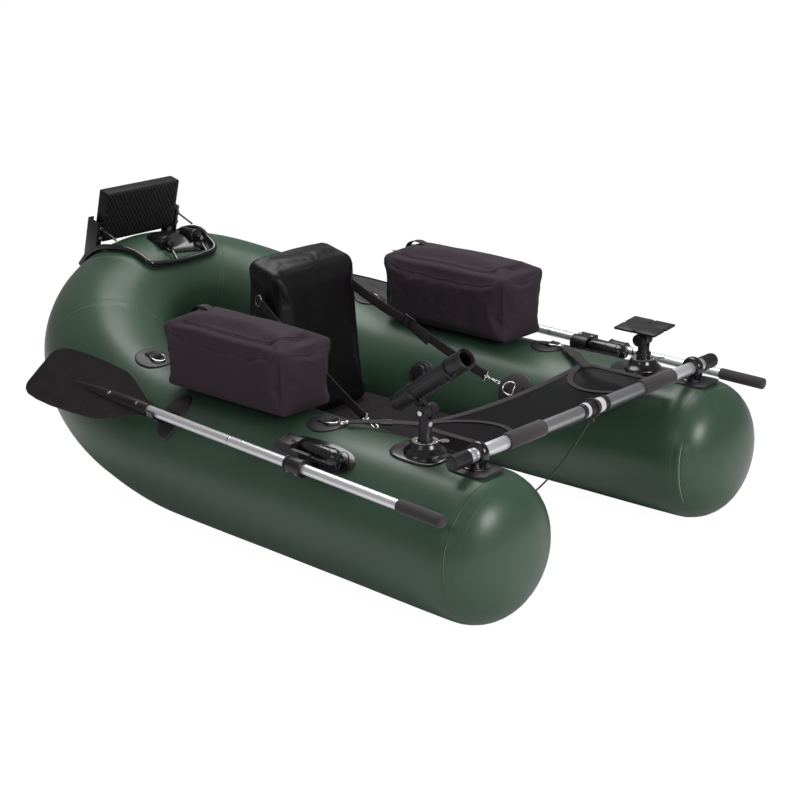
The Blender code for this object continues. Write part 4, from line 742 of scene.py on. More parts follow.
def strap_piece(name, points, width, thick, finish, across, rows=4, edge_bead=0.0003):
    """A strap through points with its own map: metres along it and across it."""
    bm = bmesh.new()
    length = 0.0
    rows_made = []
    where = {}
    for index, point in enumerate(points):
        if index:
            length += (Vector(point) - Vector(points[index - 1])).length
        side = (across[index] if isinstance(across, list) else Vector(across)).normalized()
        row = []
        for step in range(rows + 1):
            share = step / rows - 0.5
            vert = bm.verts.new(Vector(point) + side * width * share)
            where[vert] = (length, width * share)
            row.append(vert)
        rows_made.append(row)
    sheeted(bm, rows_made, where)
    piece = new_piece(name, bm, finish)
    shell = piece.modifiers.new("thickness", "SOLIDIFY")
    shell.thickness = thick
    shell.offset = 0.0
    bevel = piece.modifiers.new("edges", "BEVEL")
    bevel.width = edge_bead
    bevel.segments = 1
    return applied(piece)


def refined(node, finish, edge=0.0006, angle=38.0, segments=2):
    """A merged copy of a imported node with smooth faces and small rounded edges, in its place."""
    source = frame["nodes"][node]
    bm = bmesh.new()
    bm.from_mesh(source.data)
    bmesh.ops.transform(bm, matrix=source.matrix_world, verts=bm.verts)
    bmesh.ops.remove_doubles(bm, verts=bm.verts, dist=0.00003)
    bmesh.ops.dissolve_limit(bm, angle_limit=math.radians(1.5), verts=bm.verts, edges=bm.edges)
    piece = new_piece(node + "_skin", bm, finish, BODY_OF[node], smooth=angle, outward=False)
    if edge:
        bevel = piece.modifiers.new("edges", "BEVEL")
        bevel.width = edge
        bevel.segments = segments
        bevel.limit_method = "ANGLE"
        bevel.angle_limit = math.radians(angle)
        applied(piece)
        piece.data.shade_smooth()
        piece.data.set_sharp_from_angle(angle=math.radians(angle))
    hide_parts(node)
    return piece


def hull_stations(straight=44, rise=14, bend=44, dome=14):
    """Centres, radii and shrinking shares of the rings from the left tip round to the right one."""
    size = sizes()
    half = []
    for step in range(dome):
        angle = math.pi / 2 * (step + 0.08) / dome
        reach = size.tip_dome * (1.0 - math.cos(angle) ** 0.86)
        centre, radius = hull_station(-1, size.tip_front + reach)
        half.append((centre, radius * math.sin(angle) ** 0.86))
    for start, end, steps in ((size.tip_front + size.tip_dome, size.rise_start, straight),
                              (size.rise_start, size.straight_end, rise)):
        half += [hull_station(-1, start + (end - start) * step / steps) for step in range(steps)]
    half += [hull_station(-1, bend=math.pi / 2 * step / bend) for step in range(bend)]
    other = [(Vector((-centre.x, centre.y, centre.z)), radius) for centre, radius in reversed(half)]
    return half + [hull_station(-1, bend=math.pi / 2)] + other


def run_lengths(stations):
    lengths = [0.0]
    for (before, _), (after, _) in zip(stations, stations[1:]):
        lengths.append(lengths[-1] + (after - before).length)
    return lengths


def seam_marks(stations, lengths):
    """How far along the tube each welded cross seam lies, and how strongly it shows."""
    size = sizes()
    total = lengths[-1]
    marks = []
    tip = next(run for (centre, _), run in zip(stations, lengths) if centre.y > size.tip_front + 0.072)
    marks += [(tip, 1.0), (total - tip, 1.0)]
    for degrees in (38.0, 68.0):
        target, _ = hull_station(-1, bend=math.radians(degrees))
        nearest = min(range(len(stations)), key=lambda index: (stations[index][0] - target).length)
        marks += [(lengths[nearest], 0.55), (total - lengths[nearest], 0.55)]
    return marks


def make_hull(sides=112):
    """The inflated skin: one tube with rounded tips, soft dents and puckers beside its seams."""
    stations = hull_stations()
    lengths = run_lengths(stations)
    marks = seam_marks(stations, lengths)
    Finish.made["hull_skin"] = hull_finish(marks)
    bm = bmesh.new()
    layer = bm.loops.layers.uv.new("flat")
    rings = []
    for index, (centre, radius) in enumerate(stations):
        before = stations[max(index - 1, 0)][0]
        after = stations[min(index + 1, len(stations) - 1)][0]
        heading = (after - before).normalized()
        level = Vector((0.0, 0.0, 1.0)).cross(heading).normalized()
        rise = heading.cross(level)
        near = sum(strong * math.exp(-((lengths[index] - mark) / 0.030) ** 2) for mark, strong in marks)
        ring = []
        for step in range(sides):
            angle = 2.0 * math.pi * step / sides
            out = level * math.cos(angle) + rise * math.sin(angle)
            spot = centre + radius * out
            pucker = noise.noise(Vector((angle * 9.0, 0.3, index)))
            dent = noise.noise(spot * 5.0) * 0.0012 + near * 0.0011 * pucker
            swell = min(radius / 0.08, 1.0)
            ring.append(bm.verts.new(spot + out * (dent - 0.0012) * swell - out * 0.0013 * near * swell))
        rings.append(ring)
    for index, (low, high) in enumerate(zip(rings, rings[1:])):
        for step in range(sides):
            after = (step + 1) % sides
            face = bm.faces.new((low[step], low[after], high[after], high[step]))
            turns = (step / sides, (step + 1) / sides, (step + 1) / sides, step / sides)
            runs = (lengths[index], lengths[index], lengths[index + 1], lengths[index + 1])
            for loop, run, turn in zip(face.loops, runs, turns):
                loop[layer].uv = (run, turn)
    bm.faces.new(list(reversed(rings[0])))
    bm.faces.new(rings[-1])
    skin = new_piece("hull_skin", bm, "hull_skin", smooth=80.0)
    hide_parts("hull_tube")


def bent_patch(name, side, y, angle, length, width, finish, thick=0.0026, corner=2.0, rim=0.004):
    """A glued patch bent round the tube: a superellipse with a rounded rim."""
    _, radius = hull_station(side, y)
    rings, sides = 10, 64
    bm = bmesh.new()
    layer = bm.loops.layers.uv.new("flat")
    where = {}

    def spot(share, turn, lift):
        cosine, sine = math.cos(turn), math.sin(turn)
        reach = (abs(cosine) ** corner + abs(sine) ** corner) ** (-1.0 / corner)
        u = share * reach * cosine * width / 2
        v = share * reach * sine * length / 2
        place = hull_frame(side, y + v, angle + math.degrees(u / radius), lift)
        vert = bm.verts.new(place.translation)
        where[vert] = (u, v)
        return vert

    rim_share = 1.0 - 2.0 * rim / min(length, width)
    levels = [(rim_share * (step + 1) / rings, thick) for step in range(rings)]
    levels += [(rim_share + (1 - rim_share) * 0.45, thick * 0.96),
               (rim_share + (1 - rim_share) * 0.8, thick * 0.72), (1.0, thick * 0.3), (1.0, -0.0012)]
    loops = [[spot(share, 2 * math.pi * step / sides, lift) for step in range(sides)]
             for share, lift in levels]
    middle = spot(0.0, 0.0, thick)
    under = spot(0.0, 0.0, -0.0012)
    for step in range(sides):
        after = (step + 1) % sides
        bm.faces.new((middle, loops[0][step], loops[0][after]))
        bm.faces.new((under, loops[-1][after], loops[-1][step]))
        for low, high in zip(loops, loops[1:]):
            bm.faces.new((low[step], high[step], high[after], low[after]))
    for face in bm.faces:
        for loop in face.loops:
            loop[layer].uv = where[loop.vert]
    return new_piece(name, bm, finish, smooth=50.0)


def ring_outline(width, reach, steps=16):
    """A D-shaped ring: a straight bar and a bow, with small round corners."""
    points = [Vector((-width / 2 + width * share, 0.0, 0.0)) for share in (0.06, 0.35, 0.65, 0.94)]
    for step in range(steps + 1):
        angle = math.pi * step / steps
        bow = reach * 0.30 + reach * 0.70 * math.sin(angle)
        points.append(Vector((width / 2 * math.cos(angle), bow, 0.0)))
    return points


def tree_node(tree, kind, settings=(), values=()):
    """A node with its settings, and its inputs set or linked."""
    node = tree.nodes.new(kind)
    for key, value in dict(settings).items():
        setattr(node, key, value)
    for key, value in dict(values).items():
        if isinstance(value, bpy.types.NodeSocket):
            tree.links.new(value, node.inputs[key])
        else:
            node.inputs[key].default_value = value
    return node


def repeat_tree(name, numbers, laid_out):
    """A tree that sets one small mesh on each point of a run, makes the copies real and paints them."""
    if name in bpy.data.node_groups:
        return bpy.data.node_groups[name]
    tree = bpy.data.node_groups.new(name, "GeometryNodeTree")
    tree.interface.new_socket("Geometry", in_out="INPUT", socket_type="NodeSocketGeometry")
    for label, value in numbers:
        kind = "NodeSocketInt" if isinstance(value, int) else "NodeSocketFloat"
        tree.interface.new_socket(label, in_out="INPUT", socket_type=kind).default_value = value
    tree.interface.new_socket("Finish", in_out="INPUT", socket_type="NodeSocketMaterial")
    tree.interface.new_socket("Geometry", in_out="OUTPUT", socket_type="NodeSocketGeometry")
    given = tree.nodes.new("NodeGroupInput").outputs
    out = tree.nodes.new("NodeGroupOutput")
    laid = tree_node(tree, "GeometryNodeInstanceOnPoints", values=laid_out(tree, given))
    real = tree_node(tree, "GeometryNodeRealizeInstances", values={"Geometry": laid.outputs[0]})
    painted = tree_node(tree, "GeometryNodeSetMaterial", values={
        "Geometry": real.outputs[0], "Material": given["Finish"]})
    tree.links.new(painted.outputs[0], out.inputs["Geometry"])
    return tree


def repeated(guide, tree, values, finish):
    """Runs a repeat tree on its guide, with inputs set by their identifiers, and keeps the result."""
    modifier = guide.modifiers.new("repeats", "NODES")
    modifier.node_group = tree
    inputs = {item.name: item.identifier for item in tree.interface.items_tree
              if item.item_type == "SOCKET" and item.in_out == "INPUT"}
    for label, value in values.items():
        modifier[inputs[label]] = value
    modifier[inputs["Finish"]] = Finish.made[finish]
    applied(guide)
    guide.data.materials.clear()
    guide.data.materials.append(Finish.made[finish])


def stitch_layout(tree, given):
    """Whole stitches along a line: one bead for each, shorter than the stitch by its gap."""
    line = tree_node(tree, "GeometryNodeMeshToCurve", values={"Mesh": given["Geometry"]})
    points = tree_node(tree, "GeometryNodeCurveToPoints", {"mode": "LENGTH"},
                       {"Curve": line.outputs[0], "Length": given["Stitch length"]})
    full = tree_node(tree, "ShaderNodeMath", {"operation": "SUBTRACT"}, {0: 1.0, 1: given["Gap share"]})
    long = tree_node(tree, "ShaderNodeMath", {"operation": "MULTIPLY"},
                     {0: given["Stitch length"], 1: full.outputs[0]})
    bead = tree_node(tree, "GeometryNodeMeshCylinder", values={
        "Vertices": 6, "Radius": given["Thread"], "Depth": long.outputs[0]})
    return {"Points": points.outputs["Points"], "Instance": bead.outputs["Mesh"],
            "Rotation": points.outputs["Rotation"]}


def stitches(name, route, finish, length, gap=0.35, thick=0.0007):
    """Stitches set along a route by a node tree: one short bead for each step of thread."""
    bm = bmesh.new()
    verts = [bm.verts.new(point) for point in route]
    for pair in zip(verts, verts[1:]):
        bm.edges.new(pair)
    guide = new_piece(name, bm, finish, None, outward=False)
    tree = repeat_tree("stitch_run", (("Stitch length", 0.0055), ("Thread", 0.0007), ("Gap share", 0.35)),
                       stitch_layout)
    repeated(guide, tree, {"Stitch length": length, "Thread": thick, "Gap share": gap}, finish)
    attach(guide, ROOT)


FRONT_RING = (-0.165, 3.0)
INNER_RING = (-0.172, -58.0)
RING_PATCHES = (("front_ring_patch", *FRONT_RING, 180.0), ("rear_ring_patch", 0.495, 3.0, 180.0),
                ("inner_ring_patch", *INNER_RING, 12.0))


def make_ring_patches():
    """Round glued patches, each with a sewn webbing loop that holds a steel ring."""
    for stem, y, angle, lean in RING_PATCHES:
        for side, word in SIDES:
            name = f"{stem}_{word}"
            disc = bent_patch(name + "_disc", side, y, angle, 0.096, 0.096, "patch_fabric")
            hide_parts(name)
            top = hull_frame(side, y, angle, 0.0028)
            way = -1.0 if lean > 90.0 else 1.0
            tab = []
            for step in range(13):
                share = step / 12
                v = way * (0.012 - 0.036 * share)
                hump = 0.0062 * math.exp(-((v - way * 0.004) / 0.0052) ** 2)
                tab.append(top @ Vector((0.0, v, 0.0014 + hump)))
            strap_piece(name + "_tab", tab, 0.028, 0.0022, "strap_webbing",
                        top.to_3x3() @ Vector((1.0, 0.0, 0.0)))
            for offset in (-0.0045, -0.0185):
                line = [top @ Vector((u * 0.011, way * offset, 0.0031)) for u in (-1.0, -0.5, 0.0, 0.5, 1.0)]
                stitches(f"{name}_stitch_{round(-offset * 10000)}", line, "thread", 0.0032)
            hang = top @ at(z=0.0042) @ turned_about("X", lean)
            rod_piece(name + "_steel", [hang @ point for point in ring_outline(0.034, 0.030)], 0.0021, 12,
                      "bright_steel", closed=True)


def make_valves():
    """The two inflation valves: a glued collar, a seat and a cap."""
    for side, word in SIDES:
        refined(f"valve_seat_{word}", "satin_plastic")
        refined(f"valve_cap_{word}", "satin_plastic")
        bent_patch(f"valve_collar_{word}", side, 0.128, -63.0, 0.074, 0.074, "patch_fabric", thick=0.0016)


def swollen(piece, cap, pinned):
    """Swells a closed cover in a short cloth simulation, no point further than the cap, as plain mesh."""
    soft = soft_sizes()
    scene = bpy.context.scene
    remesh = piece.modifiers.new("grid", "REMESH")
    remesh.mode = "VOXEL"
    remesh.voxel_size = soft.voxel
    applied(piece)
    start = [vert.co.copy() for vert in piece.data.vertices]
    parent = piece.parent
    piece.parent = None
    cloth = piece.modifiers.new("cover", "CLOTH")
    settings = cloth.settings
    settings.use_pressure = True
    settings.uniform_pressure_force = soft.pressure
    settings.effector_weights.gravity = 0.0
    settings.tension_stiffness = 12.0
    settings.compression_stiffness = 6.0
    settings.bending_stiffness = 0.4
    group = piece.vertex_groups.new(name="held")
    group.add([index for index, spot in enumerate(start) if pinned(spot)], 1.0, "REPLACE")
    settings.vertex_group_mass = group.name
    for number in range(1, soft.frames + 1):
        scene.frame_set(number)
    applied(piece)
    scene.frame_set(1)
    piece.parent = parent
    piece.vertex_groups.clear()
    for vert, spot in zip(piece.data.vertices, start):
        moved = vert.co - spot
        if moved.length > cap:
            vert.co = spot + moved * (cap / moved.length)


def softened(piece, turns=2):
    """Evens out the grid's steps and rounds the cover with one subdivision."""
    even = piece.modifiers.new("even", "SMOOTH")
    even.iterations = turns
    finer = piece.modifiers.new("finer", "SUBSURF")
    finer.levels = finer.render_levels = 1
    applied(piece)
    piece.data.shade_smooth()


def kept_off_hull(piece):
    """Pushes the points of a soft piece out of the tube that it lies on."""
    gap = 0.0012
    for vert in piece.data.vertices:
        spot = vert.co
        side = -1 if spot.x < 0 else 1
        centre, radius = hull_station(side, min(max(spot.y, sizes().tip_front), sizes().straight_end))
        flat = Vector((spot.x - centre.x, 0.0, spot.z - centre.z))
        if 0.0001 < flat.length < radius + gap:
            out = flat.normalized() * (radius + gap)
            vert.co = Vector((centre.x + out.x, spot.y, centre.z + out.z))


def surface_of(piece):
    return BVHTree.FromObject(piece, bpy.context.evaluated_depsgraph_get())


def laid_on(tree, spots, direction, lift):
    """The points where rays from the spots meet the surface, raised a little off it."""
    direction = Vector(direction)
    points = []
    for spot in spots:
        hit, normal, _, _ = tree.ray_cast(Vector(spot), direction)
        if hit is not None:
            points.append(hit + (-normal if normal.dot(direction) > 0 else normal) * lift)
    return points


def seam_cord(name, points, radius, finish, closed=False):
    """A thin piping laid along a seam."""
    return rod_piece(name, points, radius, 8, finish, 70.0, closed)


def padded_box(cuts, shaped, edge, segments=3, profile=0.5):
    """A gridded cube, each point shaped from its share of the box, with its sharp edges rounded."""
    bm = bmesh.new()
    bmesh.ops.create_cube(bm, size=1.0)
    bmesh.ops.subdivide_edges(bm, edges=bm.edges, cuts=cuts, use_grid_fill=True)
    for vert in bm.verts:
        vert.co = shaped(vert.co.copy())
    sharp = [link for link in bm.edges if link.calc_face_angle(0) > 0.6]
    bmesh.ops.bevel(bm, geom=sharp, offset=edge, segments=segments, affect="EDGES", profile=profile)
    return bm


def bag_shell(low, high, slope, waist):
    """A sewn box between two corners: narrower towards the bottom, with a crown on top."""
    middle = (low + high) / 2
    size = high - low

    def shaped(share):
        taper = 1.0 - slope * (0.5 - share.z) * (share.z < 0.2)
        crown = waist * (1 - (2 * share.x) ** 2) * (1 - (2 * share.y) ** 2) * (share.z > 0.45)
        return middle + Vector((share.x * size.x * taper, share.y * size.y, share.z * size.z + crown))

    return padded_box(5, shaped, 0.012, profile=0.6)


def draped(piece, low, high, depth, seed):
    """Slack folds in the sides of a bag: long soft hollows that run down from the top seam."""
    piece.data.update()
    normals = [vert.normal.copy() for vert in piece.data.vertices]
    for vert, normal in zip(piece.data.vertices, normals):
        height = (vert.co.z - low.z) / (high.z - low.z)
        side = 1.0 - abs(normal.z)
        run = vert.co.y * abs(normal.x) + vert.co.x * abs(normal.y)
        fold = noise.noise(Vector((run * 22.0 + height * 1.6, height * 2.2, seed)))
        fine = noise.noise(Vector((run * 60.0 - height * 4.0, height * 9.0, seed + 4.0)))
        level = math.sin(math.pi * min(max(height, 0.0), 1.0))
        amount = (fold * depth + fine * depth * 0.28) * side * level
        top = noise.noise(Vector((vert.co.x * 18.0, vert.co.y * 11.0, seed + 9.0))) * depth * 0.55
        vert.co += normal * (amount + top * max(normal.z, 0.0) ** 2)


BAGS = ((-1, "left", 0.412, 0.174), (1, "right", 0.432, 0.188))
BAG_X = 0.401
BAG_FRONT = -0.095
BAG_HALF = 0.095
BAG_FLOOR = 0.352


def zip_route(front, back, half):
    """The U of the zip seen from above: up one side, round the front and back along the other."""
    bow, steps = 0.030, 8
    route = [(-half, back - (back - front - bow) * step / 10) for step in range(11)]
    for step in range(1, steps):
        angle = math.pi * step / steps
        route.append((-half * math.cos(angle), front + bow - bow * math.sin(angle)))
    route += [(half, front + bow + (back - front - bow) * step / 10) for step in range(11)]
    return route


def make_bags():
    """The two bags: a swollen cloth shell with slack folds, kept off the tube."""
    for side, word, length, tall in BAGS:
        name = f"bag_{word}"
        low = Vector((side * BAG_X - BAG_HALF, BAG_FRONT, BAG_FLOOR))
        high = Vector((side * BAG_X + BAG_HALF, BAG_FRONT + length, BAG_FLOOR + tall))
        inset = Vector((0.006, 0.006, 0.004))
        shell = new_piece(name + "_shell", bag_shell(low + inset, high - inset, 0.12, 0.014), "bag_cloth",
                          smooth=80.0)
        swollen(shell, 0.009, pinned=lambda spot: spot.z < BAG_FLOOR + 0.012)
        draped(shell, low, high, 0.0060, 3.0 + side)
        kept_off_hull(shell)
        softened(shell)
        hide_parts(name)
        dress_bag(name, shell, low, high)


def dress_bag(name, shell, low, high):
    """A bag's U-shaped zip, the seams of its top and corners, its handle and its tail strap."""
    tree = surface_of(shell)
    centre = (low + high) / 2
    route = zip_route(low.y + 0.040, high.y - 0.060, BAG_HALF * 0.66)
    for offset in (-0.0035, 0.0035):
        spots = []
        for index, (x, y) in enumerate(route):
            before = Vector(route[max(index - 1, 0)])
            after = Vector(route[min(index + 1, len(route) - 1)])
            across = (after - before).normalized()
            spots.append((centre.x + x - across.y * offset, y + across.x * offset, high.z + 0.05))
        points = laid_on(tree, smooth_route(spots, 3), (0, 0, -1), 0.0002)
        seam_cord(f"{name}_zip_rail_{'a' if offset < 0 else 'b'}", points, 0.0009, "zip_tape")
    middle = laid_on(tree, smooth_route([(centre.x + x, y, high.z + 0.05) for x, y in route], 3),
                     (0, 0, -1), 0.0001)
    stitches(name + "_zip_teeth", middle, "dull_thread", 0.0036, gap=0.45)
    spots = []
    for fx, fy in ((-1, 1), (-1, -1), (1, -1), (1, 1)):
        spots.append((centre.x + fx * BAG_HALF * 0.93, centre.y + fy * (high.y - low.y) / 2 * 0.965))
    outline = []
    for first, second in zip(spots, spots[1:] + spots[:1]):
        outline += [(first[0] + (second[0] - first[0]) * step / 12,
                     first[1] + (second[1] - first[1]) * step / 12, high.z + 0.05) for step in range(12)]
    points = laid_on(tree, outline, (0, 0, -1), 0.0)
    seam_cord(name + "_top_seam", points, 0.0012, "zip_tape", closed=True)
    for fx in (-1, 1):
        for fy in (-1, 1):
            aim = Vector((fx * 0.75, fy * 0.66, 0.0)).normalized()
            spots = []
            for step in range(9):
                z = low.z + 0.035 + (high.z - low.z - 0.055) * step / 8
                y = (high.y if fy > 0 else low.y) - fy * 0.012
                spots.append(Vector((centre.x + fx * BAG_HALF * 0.90, y, z)) + aim * 0.05)
            points = laid_on(tree, spots, -aim, 0.0)
            if len(points) > 3:
                which = ("l" if fx < 0 else "r") + ("f" if fy < 0 else "b")
                seam_cord(f"{name}_corner_{which}", points, 0.0011, "zip_tape")
    handle = []
    back = high.y - 0.063
    for step in range(17):
        angle = math.pi * step / 16
        y = back - 0.037 * math.cos(angle)
        z = high.z - 0.004 + 0.0235 * math.sin(angle)
        handle.append(Vector((centre.x, y, z)))
    strap_piece(name + "_handle_strap", handle, 0.022, 0.0022, "strap_webbing", (1, 0, 0))
    tail = [Vector((centre.x + BAG_HALF * 0.35, high.y - 0.010 + 0.012 * step / 6,
                    high.z - 0.006 - 0.030 * (step / 6) ** 1.5))
            for step in range(7)]
    strap_piece(name + "_tail_strap", tail, 0.018, 0.0020, "strap_webbing", (1, 0, 0))


def backrest_shell():
    """A padded wedge: upright front, big round shoulders, a deep foot and a slimmer head."""
    low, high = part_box("seat_backrest")
    size = high - low

    def shaped(share):
        share = share + Vector((0.5, 0.5, 0.5))
        front = 0.012 + 0.040 * share.z
        depth = 0.160 + (0.104 - 0.160) * share.z
        half = size.x / 2 * (1.0 - 0.035 * share.z)
        top = size.z - 0.026 * (1.0 - share.y)
        crown = -0.010 * (1.0 - (2 * share.x - 1) ** 2) * (share.y < 0.1)
        shoulder = 1.0 - 0.06 * max(share.z - 0.8, 0.0) * abs(2 * share.x - 1)
        return Vector(((share.x * 2 - 1) * half, low.y + front + depth * share.y + crown * 0.4,
                       low.z + top * share.z * shoulder))

    return padded_box(7, shaped, 0.024, segments=4), low, high


def make_backrest():
    """The padded backrest, pressed in where its side rings are sewn on."""
    bm, low, high = backrest_shell()
    back = new_piece("backrest_cover", bm, "backrest_vinyl", smooth=80.0)
    swollen(back, 0.006, pinned=lambda spot: spot.z < low.z + 0.02)
    back.data.update()
    normals = [vert.normal.copy() for vert in back.data.vertices]
    for vert, normal in zip(back.data.vertices, normals):
        spot = vert.co
        for side in (-1, 1):
            off = spot - Vector((side * 0.152, 0.318, 0.497))
            pinch = math.exp(-(off.length / 0.035) ** 2)
            crease = math.exp(-((off.y + 0.030 + off.z * 0.12) / 0.010) ** 2) * math.exp(-(off.z / 0.07) ** 2)
            vert.co -= Vector((side, 0, 0)) * (0.010 * pinch + 0.006 * crease * (abs(normal.x) > 0.3))
        vert.co += normal * noise.noise(spot * 9.0) * 0.0022
        vert.co.z = max(vert.co.z, low.z)
        vert.co.z = min(vert.co.z, high.z + 0.004)
    softened(back, turns=3)
    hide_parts("seat_backrest")
    tree = surface_of(back)
    for side, word in SIDES:
        spots = [(side * 0.30, 0.236 + 0.040 * (step / 22), low.z + 0.02 + 0.38 * step / 22)
                 for step in range(23)]
        points = laid_on(tree, spots, (-side, 0, 0), 0.0)
        seam_cord(f"backrest_seam_{word}", points, 0.0011, "backrest_vinyl")
        stitches(f"backrest_stitch_{word}", [point + Vector((0, 0.005, 0)) for point in points], "thread",
                 soft_sizes().stitch)


def make_seat():
    """The seat cushion between the pontoons, narrower below, with two grooves pressed into its top."""
    low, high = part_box("seat_cushion")
    middle = (low + high) / 2
    size = high - low

    def shaped(share):
        reach = 1.0 - 0.10 * max(0.5 - (share.z + 0.5), 0.0)
        return middle + Vector((share.x * (size.x - 0.012) * reach, share.y * (size.y - 0.012),
                                share.z * (size.z - 0.008)))

    seat = new_piece("seat_cover", padded_box(9, shaped, 0.016), "seat_cloth", smooth=80.0)
    swollen(seat, 0.007, pinned=lambda spot: spot.z < low.z + 0.02)
    kept_off_hull(seat)
    for vert in seat.data.vertices:
        groove = sum(math.exp(-((vert.co.y - y) / 0.006) ** 2) for y in (0.02, 0.15))
        vert.co.z -= 0.005 * groove * (vert.co.z > middle.z)
        if vert.co.y > 0.20:
            vert.co.z = min(vert.co.z, high.z - 0.0005)
    softened(seat)
    for vert in seat.data.vertices:
        vert.co.z = min(vert.co.z, high.z - 0.0004) if vert.co.y > 0.20 else vert.co.z
    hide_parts("seat_cushion")


BAR_Y = -0.601
BAR_Z = 0.379
BAR_PLACE = at(0.0, BAR_Y, BAR_Z) @ turned_about("Y", 90.0)
SLEEVE_RADIUS = 0.0172


def rib_layout(tree, given):
    """Ribs round a drum: one long block on each point of a ring, turned outwards."""
    ring = tree_node(tree, "GeometryNodeMeshCircle", values={
        "Vertices": given["Ribs"], "Radius": given["Ring radius"]})
    size = tree_node(tree, "ShaderNodeCombineXYZ", values={
        "X": given["Rib width"], "Y": given["Rib width"], "Z": given["Rib length"]})
    rib = tree_node(tree, "GeometryNodeMeshCube", values={"Size": size.outputs[0]})
    spot = tree_node(tree, "GeometryNodeInputPosition")
    face = tree_node(tree, "FunctionNodeAlignRotationToVector", {"axis": "X"}, {"Vector": spot.outputs[0]})
    return {"Points": ring.outputs["Mesh"], "Instance": rib.outputs["Mesh"], "Rotation": face.outputs[0]}


def rib_ring(name, place, radius, width, length, count, finish, body):
    """Ribs moulded round a cap, laid by the node tree."""
    bm = bmesh.new()
    bm.verts.new((0.0, 0.0, 0.0))
    piece = new_piece(name, bm, finish, None, outward=False)
    tree = repeat_tree("rib_ring", (("Ring radius", 0.018), ("Rib width", 0.001), ("Rib length", 0.03),
                                    ("Ribs", 24)), rib_layout)
    repeated(piece, tree, {"Ring radius": radius, "Rib width": width, "Rib length": length, "Ribs": count},
             finish)
    piece.data.transform(place)
    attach(piece, body)


def sleeve_piece(name, low, high, radius, finish, body="crossbar", place=BAR_PLACE, edge=0.0006, wall=0.0):
    """A band or sleeve on a round bar, from one station to another, with rounded rims."""
    low, high = sorted((low, high))
    profile = [(radius - edge, low), (radius - edge * 0.3, low + edge * 0.3), (radius, low + edge),
               (radius, high - edge), (radius - edge * 0.3, high - edge * 0.3), (radius - edge, high)]
    if wall:
        profile += [(radius - wall, high), (radius - wall, low)]
    return turned_piece(name, profile, 56, finish, body, 32.0, place, closed=not wall)


def make_crossbar():
    """The bar with its foam grips, ringed middle sleeve and ribbed end caps."""
    tube = sleeve_piece("bar_tube_skin", -0.480, 0.480, 0.0150, "bar_alloy_grey", wall=0.0015)
    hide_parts("crossbar_tube")
    for side, word in SIDES:
        bright = sleeve_piece(f"bar_bright_{word}", side * 0.3175, side * 0.430, 0.01515, "bar_alloy",
                              wall=0.0006)
        grip = sleeve_piece(f"bar_foam_{word}", side * 0.190, side * 0.318, 0.0190, "grip_foam", edge=0.0016,
                            wall=0.0036)
        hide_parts(f"crossbar_grip_{word}")
        cap = bmesh.new()
        profile = [(0.0153, 0.4483), (0.0172, 0.4483), (0.0178, 0.4490), (0.0178, 0.4945), (0.0171, 0.4980),
                   (0.0148, 0.4996), (0.0100, 0.5000), (0.0, 0.5000), (0.0, 0.4900), (0.0153, 0.4806)]
        profile = [(radius, side * height) for radius, height in profile]
        turning(cap, [(max(radius, 0.00005), height) for radius, height in profile], 64, closed=False)
        bmesh.ops.remove_doubles(cap, verts=cap.verts, dist=0.0002)
        cap_piece = new_piece(f"bar_cap_{word}", cap, "satin_plastic", "crossbar", place=BAR_PLACE)
        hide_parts(f"crossbar_cap_{word}")
        rib_ring(f"bar_cap_ribs_{word}", BAR_PLACE @ at(z=side * 0.4725), 0.0176, 0.0011, 0.0420, 34,
                 "satin_plastic", "crossbar")
        sleeve_piece(f"bar_band_{word}", side * 0.4300, side * 0.4475, 0.0157, "band_silver", wall=0.0008)
    middle = sleeve_piece("bar_sleeve_skin", -0.048, 0.048, SLEEVE_RADIUS, "satin_plastic", wall=0.0019)
    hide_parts("crossbar_sleeve")
    for low, high in ((-0.036, -0.025), (0.012, 0.030)):
        sleeve_piece(f"sleeve_ring_{'a' if low < 0 else 'b'}", low, high, 0.0175, "band_white", edge=0.0003,
                     wall=0.0006)


def make_bar_loops():
    """The moulded rubber loops that hold the crossbar, each on its own glued pad."""
    for side, word in SIDES:
        name = f"crossbar_holder_{word}"
        pad = bent_patch(f"bar_pad_{word}", side, BAR_Y, 0.0, 0.110, 0.090, "patch_fabric", corner=4.2,
                         rim=0.003)
        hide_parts(name)
        raised = bent_patch(f"bar_pad_raise_{word}", side, BAR_Y, 0.0, 0.070, 0.062, "gloss_plastic",
                            thick=0.0052, corner=2.6, rim=0.010)
        bm = bmesh.new()
        centre = at(side * 0.412, BAR_Y, BAR_Z)
        rings = []
        for upward, onward in circle(48):
            down = max(-upward, 0.0)
            reach = 0.0152 + 0.0062
            thick = 0.0062 + 0.0016 * down
            wide = 0.0108 + 0.0030 * down ** 2
            middle = Vector((0.0, onward, upward))
            ring = []
            for cosine, sine in circle(18):
                out = reach + (thick - 0.0062) + thick * cosine
                spot = middle * max(out, 0.0153) + Vector((1.0, 0.0, 0.0)) * wide * sine
                ring.append(bm.verts.new(centre @ spot))
            rings.append(ring)
        skinned(bm, rings, True)
        new_piece(f"bar_loop_{word}", bm, "gloss_plastic", smooth=80.0)
        foot = bmesh.new()
        top = hull_frame(side, BAR_Y, 0.0)
        low = 0.3515
        profile = [(0.0005, low), (0.0300, low + 0.0008), (0.0300, low + 0.0024), (0.0230, low + 0.0058),
                   (0.0150, low + 0.0092), (0.0120, low + 0.0125), (0.0005, low + 0.0130)]
        turning(foot, profile, 48)
        bmesh.ops.scale(foot, vec=(0.82, 1.0, 1.0), verts=foot.verts)
        new_piece(f"bar_loop_foot_{word}", foot, "gloss_plastic", smooth=60.0,
                  place=at(top.translation.x, BAR_Y, 0.0))


